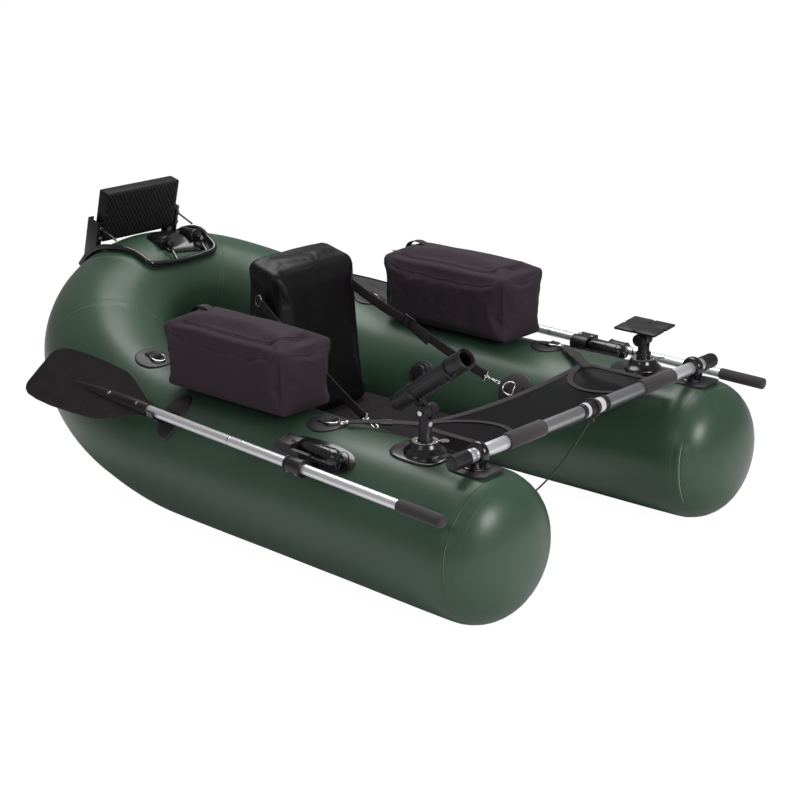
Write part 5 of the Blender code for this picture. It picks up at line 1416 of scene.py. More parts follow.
def oar_place(side):
    climb = Matrix.Rotation(math.atan(0.0266), 4, "X")
    splay = Matrix.Rotation(side * math.atan(0.0363), 4, "Z")
    return at(side * 0.603, -0.248, 0.316) @ splay @ climb


def make_oars():
    """Both oars: two-part alloy shaft with its joint and button, soft grip, ribbed blade with rivets."""
    lie = turned_about("X", -90.0)
    for side, word in SIDES:
        body = f"oar_{word}"
        place = oar_place(side)
        piece = turned_piece(f"oar_tube_{word}", rounded(0.0115, 0.940, 0.0006), 44, "drawn_alloy", body,
                             place=place @ at(y=0.045) @ lie)
        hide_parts(f"oar_shaft_{word}")
        sleeve_piece(f"oar_joint_{word}", 0.2135, 0.2175, 0.01185, "bright_steel", body, place @ lie, 0.0004,
                     0.0006)
        seam = sleeve_piece(f"oar_joint_gap_{word}", 0.2175, 0.2183, 0.01165, "satin_plastic", body,
                            place @ lie, 0.0001, 0.0004)
        button = ((0.0003, 0.0), (0.0036, 0.0), (0.0036, 0.0010), (0.0028, 0.0022), (0.0012, 0.0028),
                  (0.0003, 0.0029))
        turned_piece(f"oar_button_{word}", button, 20, "bright_steel", body,
                     place=place @ at(y=0.170) @ turned_about("Y", side * 20.0) @ at(z=0.0112))
        front = -0.425
        length = 0.125
        profile = [(0.0004, -0.008), (0.0112, -0.008), (0.0134, -0.0066), (0.0144, -0.0035)]
        profile += [(0.0145, -0.0035 + (length - 0.008) * share) for share in (0.05, 0.5, 0.9)]
        profile += [(0.0141, length - 0.0098), (0.0118, length - 0.0090)]
        grip = turned_piece(f"oar_foam_{word}", [(radius, front + height) for radius, height in profile], 40,
                            "grip_foam", body, place=place @ lie)
        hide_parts(f"oar_grip_{word}")
        make_blade(side, word, body, place)


RIVET = ((0.0002, -0.0010), (0.0042, -0.0010), (0.0042, 0.0002), (0.0034, 0.0011), (0.0016, 0.0015),
         (0.0002, 0.0016))


def make_blade(side, word, body, place):
    """A thin moulded blade, a little thicker in its middle and at its rim, a tapering rib and two rivets."""
    half_shares = ((0.0, 0.24), (0.03, 0.25), (0.06, 0.29), (0.12, 0.43), (0.25, 0.73), (0.34, 0.885),
                   (0.50, 0.955), (0.70, 1.0), (0.84, 0.975), (0.93, 0.905), (0.970, 0.80), (0.990, 0.68),
                   (1.0, 0.53))
    length = 0.432
    half = 0.082
    thick = 0.0050
    bm = bmesh.new()
    rows = []
    for share, wide in half_shares:
        upper, lower = [], []
        for step in range(17):
            u = (step / 8.0 - 1.0)
            rim = abs(u) ** 10
            body_thick = thick * (0.36 + 0.16 * (1.0 - abs(u)) + 0.10 * rim) * (1.0 if share < 0.97 else 0.72)
            x = u * wide * half
            upper.append(bm.verts.new((x, share * length, body_thick * 0.95)))
            lower.append(bm.verts.new((x, share * length, -body_thick * 0.95)))
        rows.append((upper, lower))
    for (upper, lower), (next_upper, next_lower) in zip(rows, rows[1:]):
        for step in range(16):
            bm.faces.new((upper[step], upper[step + 1], next_upper[step + 1], next_upper[step]))
            bm.faces.new((lower[step], next_lower[step], next_lower[step + 1], lower[step + 1]))
        bm.faces.new((upper[0], next_upper[0], next_lower[0], lower[0]))
        bm.faces.new((upper[-1], lower[-1], next_lower[-1], next_upper[-1]))
    for upper, lower in (rows[0], rows[-1]):
        for step in range(16):
            bm.faces.new((upper[step], upper[step + 1], lower[step + 1], lower[step]))
    tilt = place @ at(y=0.503) @ turned_about("Y", side * 38.0)
    blade = new_piece(f"blade_skin_{word}", bm, "blade_plastic", body, smooth=55.0, place=tilt)
    bevel = blade.modifiers.new("rim", "BEVEL")
    bevel.width = 0.0009
    bevel.segments = 2
    bevel.limit_method = "ANGLE"
    bevel.angle_limit = math.radians(55.0)
    applied(blade)
    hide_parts(f"oar_blade_{word}")
    rib = bmesh.new()
    reach = 0.300
    profile = [(0.0120, 0.0), (0.0138, 0.0), (0.0145, 0.0010), (0.0145, reach * 0.30), (0.0139, reach * 0.40),
               (0.0120, reach * 0.58), (0.0088, reach * 0.76), (0.0050, reach * 0.91),
               (0.0012, reach * 0.995)]
    turning(rib, profile, 36)
    bmesh.ops.scale(rib, vec=(1.0, 0.92, 1.0), verts=[vert for vert in rib.verts if vert.co.z > reach * 0.38])
    new_piece(f"blade_rib_{word}", rib, "blade_plastic", body, smooth=60.0,
              place=tilt @ turned_about("X", -90.0))
    for index, run in enumerate((0.036, 0.142)):
        radius = 0.0145 if run < reach * 0.40 else 0.0128
        for face in (-1.0, 1.0):
            turn = turned_about("Y", 180.0) if face < 0 else Matrix.Identity(4)
            turned_piece(f"blade_rivet_{word}_{index}{'a' if face < 0 else 'b'}", RIVET, 20, "bright_steel",
                         body, place=tilt @ at(y=run) @ turn @ at(z=radius * 0.93))


def make_clip(side, word, place):
    """The stowing clip: an oval rubber pad, a leaning stem and a round cradle with turned-out lips."""
    pad = bent_patch(f"clip_pad_{word}", side, 0.250, 45.0, 0.066, 0.130, "patch_fabric", thick=0.0026,
                     corner=2.4, rim=0.005)
    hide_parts(f"oar_clip_{word}")
    here = place @ at(y=0.484)
    arc = []
    for step in range(-14, 15):
        turn = math.radians(8.0 * step)
        reach = 0.0145 + 0.0042 * max(abs(step) - 11, 0) / 3
        arc.append(here @ Vector((reach * math.sin(turn), 0.0, -reach * math.cos(turn))))
    heading = here.to_3x3() @ Vector((0.0, 1.0, 0.0))
    cradle = strap_piece(f"clip_cradle_{word}", arc, 0.0245, 0.0044, "gloss_plastic", heading,
                         edge_bead=0.0008)
    foot = hull_frame(side, here.translation.y, 47.0).translation
    top = here @ Vector((-side * 0.0067, 0.0, -0.0150))
    lean = along(foot, top, heading)
    stem = bmesh.new()
    run = (top - foot).length
    block(stem, (0.0215, 0.0110, run), lean @ at(z=run / 2), 0.0016)
    block(stem, (0.0300, 0.0200, 0.0060), lean @ at(z=0.0045), 0.0022)
    new_piece(f"clip_stem_{word}", stem, "gloss_plastic", smooth=35.0)


LOCK_NUT = ((0.0003, -0.0040), (0.0062, -0.0040), (0.0062, 0.0014), (0.0040, 0.0030), (0.0003, 0.0031))
COLLAR_SCREW = ((0.0002, -0.002), (0.0034, -0.002), (0.0034, 0.0008), (0.0022, 0.0018), (0.0002, 0.0019))


def make_oarlocks():
    """The pads, glossy barrels and hinged heads, the collars on the shafts and the stowing clips."""
    lie = turned_about("X", -90.0)
    for side, word in SIDES:
        place = oar_place(side)
        refined(f"oarlock_base_{word}", "gloss_plastic", edge=0.0011, angle=34.0, segments=3)
        refined(f"oarlock_head_{word}", "satin_plastic", edge=0.0018, angle=34.0, segments=3)
        refined(f"oar_collar_{word}", "satin_plastic", edge=0.0008, angle=40.0)
        make_clip(side, word, place)
        patch = bent_patch(f"lock_pad_rim_{word}", side, -0.230, 38.0, 0.225, 0.072, "patch_fabric",
                           thick=0.0021, corner=2.6, rim=0.004)
        barrel = at(x=-side * 0.067, z=0.015)
        for index, y in enumerate((0.0555, 0.0905)):
            turned_piece(f"lock_nut_{word}_{index}", LOCK_NUT, 6, "dull_steel", f"oarlock_{word}", 20.0,
                         place @ at(x=-side * 0.045, y=y, z=0.0310))
        for index in range(3):
            front = -0.0085 - 0.032 * index
            groove = sleeve_piece(f"lock_ring_{word}_{index}", front, front - 0.003, 0.0212, "gloss_plastic",
                                  ROOT, place @ barrel @ lie, 0.0008, 0.0012)
        for end in (-1.0, 1.0):
            sleeve_piece(f"collar_lip_{word}_{'a' if end < 0 else 'b'}", end * 0.0215, end * 0.0248, 0.0203,
                         "satin_plastic", f"collar_{word}", place @ lie, 0.0008, 0.0016)
        for index, y in enumerate((0.014, -0.014)):
            turned_piece(f"collar_screw_{word}_{index}", COLLAR_SCREW, 14, "dull_steel", f"collar_{word}",
                         place=place @ at(y=y) @ turned_about("Y", side * 128.0) @ at(z=0.0188))


PORTS = ((-1, "rod_holder"), (1, "sounder"))
PORT_X = 0.41344
PORT_Y = -0.455
PORT_TOP = 0.374
STAR_RING = ((0.0185, 0.3735), (0.0298, 0.3735), (0.0303, 0.3742), (0.0296, 0.3752), (0.0250, 0.3760),
             (0.0195, 0.3760), (0.0185, 0.3752))
PORT_SCREW = ((0.0002, 0.3755), (0.0026, 0.3755), (0.0026, 0.3759), (0.0018, 0.3762), (0.0002, 0.3762))


def make_ports():
    """The moulded rubber feet, each with a toothed steel ring, a lever and four screws."""
    for side, stem in PORTS:
        middle = at(hull_station(side, PORT_Y)[0].x, PORT_Y)
        pad = bent_patch(f"{stem}_pad", side, PORT_Y, 0.0, 0.150, 0.120, "gloss_plastic", corner=3.4,
                         thick=0.0028, rim=0.006)
        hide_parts(f"{stem}_base")
        foot = bmesh.new()
        profile = [(0.0510, 0.3440), (0.0500, 0.3508), (0.0455, 0.3548), (0.0405, 0.3585), (0.0362, 0.3628),
                   (0.0338, 0.3672), (0.0325, 0.3712), (0.0309, 0.3733), (0.0300, 0.3740), (0.0180, 0.3740),
                   (0.0168, 0.3732), (0.0168, 0.3560), (0.0001, 0.3560), (0.0001, 0.3440)]
        made = turning(foot, profile, 72, closed=False)
        for vert in made:
            flat = Vector((vert.co.x, vert.co.y))
            if 0.03 < flat.length and vert.co.z < 0.366:
                angle = math.atan2(vert.co.y, vert.co.x)
                lobe = 1.0 + 0.055 * math.cos(4.0 * angle) * (0.366 - vert.co.z) / 0.022
                vert.co.x *= lobe
                vert.co.y *= lobe
        new_piece(f"{stem}_foot", foot, "gloss_plastic", smooth=50.0, place=middle)
        turned_piece(f"{stem}_star_ring", STAR_RING, 72, "bright_steel", smooth=40.0, place=middle,
                     closed=False)
        for index in range(8):
            turn = index * 45.0 + 12.0
            tooth = bmesh.new()
            block(tooth, (0.0034, 0.0052, 0.0008), at(z=0.3758) @ turned_about("Z", turn) @ at(x=0.0205),
                  0.0005)
            new_piece(f"{stem}_star_tooth_{index}", tooth, "bright_steel", place=middle)
        lever = f"{stem}_port_lever"
        turn = middle @ at(z=PORT_TOP + 0.0023) @ turned_about("Z", -62.0) @ at(x=0.02375)
        arm = bmesh.new()
        turning(arm, [(0.0002, -0.0001), (0.0048, -0.0001), (0.0053, 0.0003), (0.0053, 0.0012),
                      (0.0048, 0.0016), (0.0002, 0.0017)], 28)
        block(arm, (0.016, 0.0058, 0.0012), at(x=0.0095, z=0.0008), 0.0004)
        turning(arm, [(0.0002, 0.0001), (0.0104, 0.0001), (0.0108, 0.0005), (0.0108, 0.0011),
                      (0.0103, 0.0015), (0.0002, 0.0016)], 40, at(x=0.0190))
        piece = new_piece(f"{lever}_steel", arm, "bright_steel", lever, smooth=30.0, place=turn)
        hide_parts(lever)
        for index, angle in enumerate((35.0, 155.0, 215.0, 325.0)):
            turned_piece(f"{stem}_port_screw_{index}", PORT_SCREW, 16, "dull_steel",
                         place=middle @ turned_about("Z", angle) @ at(x=0.0262))


def make_rod_holder():
    """The rod holder: slotted post, ribbed clamp tube with window, serrated knob and white bolt."""
    x = -PORT_X
    top = 0.440
    refined("rod_holder_post", "satin_plastic", edge=0.0007, angle=36.0)
    tube = refined("rod_holder_tube", "satin_plastic", edge=0.0006, angle=40.0)
    pitch = at(x, PORT_Y, top) @ turned_about("X", 54.0) @ at(y=0.049)
    for index, (low, high, radius) in enumerate(((-0.010, 0.004, 0.0232), (0.118, 0.124, 0.0240),
                                                 (0.166, 0.1758, 0.0241))):
        sleeve_piece(f"rod_band_{index}", low, high, radius, "satin_plastic", "rod_tube", pitch, 0.0008,
                     0.0030)
    for index in range(9):
        block_piece(f"rod_rib_{index}", (0.021, 0.0040, 0.0052),
                    pitch @ at(y=-0.0205, z=0.012 + 0.0112 * index) @ turned_about("X", 24.0), 0.0009,
                    "satin_plastic", "rod_tube")
    for side in (-1, 1):
        block_piece(f"rod_rail_{'l' if side < 0 else 'r'}", (0.0034, 0.0052, 0.135),
                    pitch @ at(x=side * 0.0200, y=0.0075, z=0.055), 0.0012, "satin_plastic", "rod_tube")
    make_knob("rod_holder_knob", at(x, PORT_Y, top) @ at(x=0.0151) @ turned_about("Y", 90.0))
    bolt = ((0.0002, -0.0012), (0.0052, -0.0012), (0.0056, 0.0), (0.0052, 0.0018), (0.0030, 0.0030),
            (0.0002, 0.0032))
    turned_piece("rod_post_bolt", bolt, 24, "band_white", "rod_holder_post", 40.0,
                 at(x, PORT_Y, 0.414) @ turned_about("X", 90.0) @ at(z=0.0138))
    block_piece("rod_post_slot", (0.0042, 0.0016, 0.024), at(x, PORT_Y - 0.0142, 0.398), 0.0006,
                "dull_thread", "rod_holder_post")
    bore = ((0.0168, -0.0655), (0.0188, -0.0655), (0.0188, 0.172), (0.0168, 0.172))
    turned_piece("rod_liner", bore, 44, "satin_plastic", "rod_tube", place=pitch, closed=False)


def make_knob(node, place):
    """A round hand knob with small serrations, its bolt and its nut."""
    bm = bmesh.new()
    profile = [(0.0004, 0.0004), (0.0120, 0.0004), (0.0136, 0.0014), (0.0148, 0.0030), (0.0150, 0.0124),
               (0.0140, 0.0146), (0.0112, 0.0158), (0.0090, 0.0152), (0.0060, 0.0148), (0.0004, 0.0150)]
    turning(bm, profile, 96)
    for vert in bm.verts:
        reach = Vector((vert.co.x, vert.co.y))
        if reach.length > 0.0135:
            angle = math.atan2(vert.co.y, vert.co.x)
            vert.co.x *= 1.0 + 0.035 * math.cos(16 * angle)
            vert.co.y *= 1.0 + 0.035 * math.cos(16 * angle)
    turning(bm, [(0.0002, -0.0300), (0.0034, -0.0300), (0.0034, 0.002), (0.0002, 0.002)], 20)
    piece = new_piece(node + "_skin", bm, "satin_plastic", node, smooth=30.0, place=place)
    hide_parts(node)
    nut = ((0.0002, -0.0352), (0.0060, -0.0352), (0.0064, -0.0344), (0.0064, -0.0306), (0.0002, -0.0306))
    turned_piece(node + "_nut", nut, 6, "bright_steel", node, 20.0, place)


def make_sounder():
    """The instrument plate with its eyes, the ribs below it, its post with a collar, and the knob."""
    x = PORT_X
    refined("sounder_post", "satin_plastic", edge=0.0007, angle=36.0)
    plate = refined("sounder_plate", "satin_plastic", edge=0.0009, angle=38.0)
    make_knob("sounder_knob", at(x, PORT_Y, 0.424) @ at(x=-0.0151) @ turned_about("Y", -90.0))
    tilt = at(x, PORT_Y, 0.424) @ at(z=0.0304) @ turned_about("Y", -6.0)
    for index, u in enumerate((-0.0345, -0.0185, 0.0185, 0.0345)):
        block_piece(f"plate_rib_{index}", (0.0024, 0.104, 0.0046), tilt @ at(x=u, z=-0.0048), 0.0006,
                    "satin_plastic", "sounder_plate")
    for index, v in enumerate((-0.036, 0.036)):
        block_piece(f"plate_cross_{index}", (0.076, 0.0024, 0.0046), tilt @ at(y=v, z=-0.0048), 0.0006,
                    "satin_plastic", "sounder_plate")
    eye = ((0.0022, 0.0028), (0.0044, 0.0028), (0.0044, 0.0033), (0.0036, 0.0038), (0.0022, 0.0036))
    for index, (u, v) in enumerate(((-0.032, -0.046), (-0.032, 0.046), (0.032, 0.046), (0.034, -0.046),
                                    (0.0, 0.02))):
        turned_piece(f"plate_eye_{index}", eye, 24, "gloss_plastic", "sounder_plate",
                     place=tilt @ at(x=u, y=v), closed=False)
    collar = ((0.0155, 0.0086), (0.0184, 0.0088), (0.0195, 0.0108), (0.0188, 0.0138), (0.0164, 0.0170),
              (0.0155, 0.0172))
    turned_piece("sounder_collar", collar, 44, "satin_plastic", "sounder_post", 50.0, at(x, PORT_Y, PORT_TOP),
                 False)


BOARD_BOLT = ((0.0002, 0.0), (0.0062, 0.0), (0.0062, 0.0036), (0.0052, 0.0048), (0.0002, 0.0050))
SOCKET_Z = 0.5430


def make_motor_mount():
    """The stern's mount: bent rods, socket pad, raked board with its rubber face and bolted uprights."""
    frame_rods = refined("mount_frame", "painted_rod", edge=0.0, angle=60.0)
    refined("mount_socket_pad", "gloss_plastic", edge=0.0009, angle=36.0, segments=2)
    for side, word in SIDES:
        refined(f"mount_upright_{word}", "painted_rod", edge=0.0009, angle=36.0)
    rake = at(0.0, 0.9210, 0.6800) @ turned_about("X", 14.0)
    piece = block_piece("board_body", (0.257, 0.036, 0.142), rake @ at(y=0.018, z=-0.071), 0.0032,
                        "board_plastic", smooth=40.0, segments=3)
    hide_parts("mount_board")
    face = bmesh.new()
    columns, rows = 24, 14
    grid = [[face.verts.new((0.1262 * (2.0 * i / columns - 1.0), 0.0,
                             -0.071 + 0.0690 * (2.0 * j / rows - 1.0)))
             for i in range(columns + 1)] for j in range(rows + 1)]
    sheeted(face, grid, {vert: (vert.co.x, vert.co.z) for row in grid for vert in row})
    rubber = new_piece("board_face", face, "board_rubber", outward=False)
    rubber.data.transform(rake @ at(y=-0.00055))
    thickness = rubber.modifiers.new("thickness", "SOLIDIFY")
    thickness.thickness = 0.0011
    thickness.offset = 0.0
    applied(rubber)
    for side, word in SIDES:
        for index, z in enumerate((-0.100, -0.128)):
            for end, y in (("f", 0.0012), ("b", 0.0478)):
                turn = turned_about("X", 90.0 if end == "f" else -90.0)
                place = rake @ at(x=side * 0.1378, y=y, z=z) @ turn
                turned_piece(f"upright_bolt_{word}_{index}{end}", BOARD_BOLT, 6, "dull_steel", smooth=20.0,
                             place=place)
    for index, sx in enumerate((-0.022, 0.086)):
        rim = ((0.0072, 0.0), (0.0186, 0.0), (0.0200, 0.0008), (0.0204, 0.0030), (0.0194, 0.0046),
               (0.0072, 0.0046))
        turned_piece(f"socket_rim_{index}", rim, 44, "gloss_plastic", smooth=50.0,
                     place=at(sx, 0.8118, SOCKET_Z) @ turned_about("X", -90.0), closed=False)
        rod_piece(f"prong_sleeve_{index}", [(sx, 0.790, SOCKET_Z), (sx, 0.8255, SOCKET_Z)], 0.0060, 20,
                  "dull_steel", 50.0)


def snap_hook(name, start, end, across):
    """A small snap hook: swivel eye, body, and a bent hook with its sprung tongue."""
    start, end = Vector(start), Vector(end)
    run = end - start
    length = run.length
    place = along(start, end, across)
    bm = bmesh.new()
    wire = 0.0019
    swivel = ((0.0003, 0.0), (0.0040, 0.0), (0.0044, 0.0012), (0.0044, 0.0052), (0.0032, 0.0070),
              (0.0003, 0.0072))
    turning(bm, swivel, 20, place @ at(z=length * 0.10))
    hook = []
    for step in range(19):
        angle = math.pi * 1.28 * step / 18
        hook.append(Vector((0.0064 - 0.0064 * math.cos(angle), 0.0,
                            length * 0.72 + length * 0.22 * math.sin(angle))))
    hook = [Vector((0.0, 0.0, length * 0.24)), Vector((0.0, 0.0, length * 0.5))] + hook
    tube_along(bm, [place @ point for point in hook], wire, 12)
    tongue = [place @ Vector((x, 0.0, length * share))
              for x, share in ((0.0002, 0.30), (0.0060, 0.46), (0.0118, 0.66))]
    tube_along(bm, tongue, wire * 0.72, 10)
    eye = [place @ Vector((0.0075 * cosine, 0.0, length * 0.02 + 0.0050 * sine))
           for cosine, sine in circle(20)]
    tube_along(bm, eye, wire * 0.8, 10, closed=True)
    return new_piece(name, bm, "bright_steel", smooth=60.0)


def ladder_lock(name, centre, run, across, width=0.032, length=0.034):
    """A moulded buckle: two sides and four bars that the webbing goes round."""
    run = Vector(run).normalized()
    across = Vector(across).normalized()
    normal = across.cross(run).normalized()
    place = Matrix((across, run, normal)).transposed().to_4x4()
    place.translation = Vector(centre)
    bm = bmesh.new()
    for side in (-1, 1):
        block(bm, (0.0038, length, 0.0058), place @ at(x=side * (width / 2 - 0.0019)), 0.0012)
    for y, lift in ((-0.5, 0.0), (-0.12, 0.0016), (0.16, -0.0006), (0.5, 0.0)):
        block(bm, (width - 0.004, 0.0044, 0.0046), place @ at(y=y * (length - 0.0044), z=lift), 0.0011)
    return new_piece(name, bm, "satin_plastic", smooth=35.0)


def make_back_straps():
    """Webbing from a ring on each side of the backrest to one on the pontoon, with buckle and hook."""
    for side, word in SIDES:
        start = Vector((side * 0.1566, 0.3168, 0.495))
        frame_at = hull_frame(side, *INNER_RING)
        end = frame_at @ Vector((0.0, 0.033, 0.0255))
        run = end - start
        across = run.cross(Vector((0.0, 0.0, 1.0))).cross(run).normalized()
        stop = end - run.normalized() * 0.042
        name = f"backrest_strap_{word}"
        buckle = start + run * 0.42
        first = [start.lerp(buckle, share / 12.0) - Vector((0, 0, 0.006 * math.sin(math.pi * share / 12.0)))
                 for share in range(13)]
        second = [buckle.lerp(stop, share / 14.0) - Vector((0, 0, 0.005 * math.sin(math.pi * share / 14.0)))
                  for share in range(15)]
        lower = strap_piece(name + "_web", first, soft_sizes().webbing, 0.0022, "strap_webbing", across)
        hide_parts(name)
        strap_piece(name + "_web_front", second, 0.0245, 0.0020, "strap_webbing", across)
        tail = [buckle + run.normalized() * (0.004 + 0.0058 * step)
                + across.cross(run).normalized() * side * -0.001
                - Vector((0, 0, 0.0045 + 0.0009 * step)) for step in range(12)]
        strap_piece(name + "_web_tail", tail, 0.0240, 0.0018, "strap_webbing", across)
        ladder_lock(name + "_lock", buckle, run, across)
        snap_hook(name + "_hook_steel", stop, end, across)
        fold = stop - run.normalized() * 0.001
        rod_piece(name + "_bar", [fold - across * 0.0150, fold + across * 0.0150], 0.0022, 14, "bright_steel")
        anchor = Vector((side * 0.1570, 0.3190, 0.4970))
        hoop = [anchor + Vector((side * 0.0012, 0.0, 0.0)) + run.normalized() * 0.0115 * cosine
                + across * 0.0155 * sine for cosine, sine in circle(24)]
        rod_piece(name + "_ring", hoop, 0.0017, 10, "dull_steel", closed=True)


APRON_BACK = -0.335
APRON_FRONT = -0.5834
APRON_HALF = 0.325
APRON_Z = 0.358


def apron_height(x, y):
    """The net lies on the pontoons and sags between them, less towards the bar."""
    share = min(abs(x) / APRON_HALF, 1.0)
    front = (APRON_BACK - y) / (APRON_BACK - BAR_Y)
    return APRON_Z - 0.020 * (1.0 - share ** 2) * (1.0 - 0.45 * front)


def make_apron():
    """The fine net over the lap: sagging sheet, bound edges, two curved pocket bands, two corner straps."""
    front, back, half = APRON_FRONT, APRON_BACK, APRON_HALF
    bm = bmesh.new()
    layer = bm.loops.layers.uv.new("flat")
    columns, rows = 84, 34
    grid = []
    for j in range(rows + 1):
        y = back + (front - back) * j / rows
        row = []
        for i in range(columns + 1):
            x = half * (2.0 * i / columns - 1.0)
            ripple = noise.noise(Vector((x * 9.0, y * 16.0, 3.0))) * 0.0022 * (1.0 - (abs(x) / half) ** 4)
            row.append(bm.verts.new((x, y, apron_height(x, y) + ripple)))
        grid.append(row)
    for low, high in zip(grid, grid[1:]):
        for i in range(columns):
            quad = bm.faces.new((low[i], high[i], high[i + 1], low[i + 1]))
            for loop in quad.loops:
                loop[layer].uv = (loop.vert.co.x, loop.vert.co.y)
    net = new_piece("apron_sheet", bm, "apron_net", smooth=80.0)
    over = [half * (2.0 * i / 60 - 1.0) for i in range(61)]
    down = [back + (front - back) * j / 24 for j in range(25)]
    for word, route, cross, (dx, dy) in (
            ("rear", [(x, back) for x in over], (0.0, 1.0, 0.0), (0.0, -0.008)),
            ("front", [(x, front) for x in over], (0.0, 1.0, 0.0), (0.0, 0.007)),
            ("left", [(-half, y) for y in down], (1.0, 0.0, 0.0), (0.008, 0.0)),
            ("right", [(half, y) for y in down], (1.0, 0.0, 0.0), (-0.008, 0.0))):
        points = [Vector((x + dx, y + dy, apron_height(x, y) + 0.0006)) for x, y in route]
        strap_piece(f"apron_hem_{word}", points, 0.018, 0.0022, "strap_webbing", cross)
        stitches(f"apron_stitch_{word}", [point + Vector((0, 0, 0.0014)) for point in points], "thread",
                 0.0050)
    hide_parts("apron")
    for side, word in SIDES:
        corner = Vector((side * 0.3125, -0.3475, APRON_Z))
        ring = hull_frame(side, *FRONT_RING) @ Vector((0.0, -0.0366, 0.0085))
        run = ring - corner
        across = Vector((0.0, 0.0, 1.0)).cross(run).normalized()
        stop = ring - run.normalized() * 0.020
        points = [corner - run.normalized() * 0.030 * (1 - share / 14.0) + (stop - corner) * (share / 14.0)
                  + Vector((0, 0, 0.002 + 0.003 * math.sin(math.pi * share / 14.0))) for share in range(15)]
        wide = soft_sizes().webbing
        strap_piece(f"apron_strap_{word}_web", points, wide, 0.0022, "strap_webbing", across)
        snap_hook(f"apron_hook_{word}", stop, ring, Vector((0.0, 0.0, 1.0)))
        seat = corner.lerp(stop, 0.45) + Vector((0, 0, 0.004))
        ladder_lock(f"apron_lock_{word}", seat, run, across, 0.031, 0.026)
    for side, word in SIDES:
        bow, cross = [], []
        for step in range(33):
            turn = math.pi * (step / 32 - 0.5)
            x = side * (0.315 - 0.145 * math.cos(turn))
            y = -0.4585 + 0.112 * math.sin(turn)
            bow.append(Vector((x, y, apron_height(x, y) + 0.0026)))
            cross.append(Vector((side * math.cos(turn) / 0.145, -math.sin(turn) / 0.112, 0.0)))
        strap_piece(f"apron_pocket_edge_{word}", bow, 0.014, 0.0016, "strap_webbing", cross)


def make_lanyard():
    """The cord, looped round the bar's middle sleeve and hanging from it to the seat's front edge."""
    cord_radius = 0.0022
    reach = SLEEVE_RADIUS + 0.0009 + cord_radius
    start = Vector((0.0, BAR_Y, BAR_Z - reach))
    end = Vector((0.0, -0.110 + 0.0099, 0.095 + 0.0068))
    route = []
    for step in range(53):
        share = step / 52
        route.append(start.lerp(end, share) - Vector((0.0, 0.0, 4.0 * 0.165 * share * (1.0 - share))))
    curve = bpy.data.curves.new("lanyard_cord", "CURVE")
    curve.dimensions = "3D"
    curve.bevel_depth = cord_radius
    curve.bevel_resolution = 3
    curve.use_fill_caps = True
    spline = curve.splines.new("POLY")
    spline.points.add(len(route) - 1)
    for point, spot in zip(spline.points, route):
        point.co = (*spot, 1.0)
    curve.materials.append(Finish.made["braided_cord"])
    cord = bpy.data.objects.new("lanyard_cord", curve)
    bpy.context.scene.collection.objects.link(cord)
    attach(cord, ROOT)
    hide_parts("lanyard")
    turn = [Vector((0.0, BAR_Y - reach * sine, BAR_Z - reach * cosine)) for cosine, sine in circle(32)]
    ring = rod_piece("lanyard_loop", turn, cord_radius, 12, "braided_cord", closed=True)
    coil = []
    for step in range(49):
        angle = 2 * math.pi * 3 * step / 48
        coil.append(start + Vector((0.0036 * math.cos(angle), 0.0036 * math.sin(angle),
                                    -0.003 - 0.009 * step / 48)))
    whipping = rod_piece("lanyard_knot", coil, 0.0017, 8, "braided_cord")


def make_stage():
    """A pale floor, a white surround for the camera, one broad soft lamp and two weaker ones."""
    levels = bpy.context.scene.float_tube_stage
    floor = bmesh.new()
    bmesh.ops.create_grid(floor, x_segments=1, y_segments=1, size=40.0)
    ground = new_piece("studio_floor", floor, "studio_floor", None, outward=False)
    ground.data.transform(at(z=-0.0005))
    world = bpy.data.worlds.new("studio")
    bpy.context.scene.world = world
    world.use_nodes = True
    tree = world.node_tree
    back = tree.nodes["Background"]
    back.inputs["Color"].default_value = (1.0, 1.0, 1.0, 1.0)
    rays = tree_node(tree, "ShaderNodeLightPath").outputs
    seen = tree_node(tree, "ShaderNodeMath", {"operation": "MAXIMUM"},
                     {0: rays["Is Camera Ray"], 1: rays["Is Transmission Ray"]})
    glossy = tree_node(tree, "ShaderNodeMath", {"operation": "MULTIPLY_ADD"},
                       {0: rays["Is Glossy Ray"], 1: -0.06, 2: levels.fill})
    strength = tree_node(tree, "ShaderNodeMath", {"operation": "MAXIMUM"},
                         {0: seen.outputs[0], 1: glossy.outputs[0]})
    tree.links.new(strength.outputs[0], back.inputs["Strength"])
    for name, spot, aim, size, power in (
            ("lamp_above", (0.5, 0.7, 2.9), (0.0, 0.0, 0.0), (1.9, 2.1), levels.key * 0.80),
            ("lamp_front", (-0.4, -2.8, 1.6), (0.0, -0.5, 0.25), (0.9, 0.9), levels.key * 0.47),
            ("lamp_left", (-3.3, -0.6, 2.3), (0.0, 0.0, 0.2), (1.4, 1.4), levels.key * 0.11)):
        lamp = bpy.data.lights.new(name, "AREA")
        lamp.shape = "RECTANGLE"
        lamp.size, lamp.size_y = size
        lamp.energy = power
        holder = bpy.data.objects.new(name, lamp)
        bpy.context.scene.collection.objects.link(holder)
        direction = Vector(aim) - Vector(spot)
        holder.matrix_world = at(*spot) @ direction.to_track_quat("-Z", "Y").to_matrix().to_4x4()
    camera = bpy.data.cameras.new("camera")
    camera.lens = levels.lens
    camera.sensor_width = 36.0
    holder = bpy.data.objects.new("camera", camera)
    bpy.context.scene.collection.objects.link(holder)
    forward = Vector((0.711, 0.631, -0.311)).normalized()
    holder.matrix_world = at(-3.321, -2.962, 1.722) @ forward.to_track_quat("-Z", "Y").to_matrix().to_4x4()
    bpy.context.scene.camera = holder
    bpy.context.scene.view_settings.view_transform = "Standard"


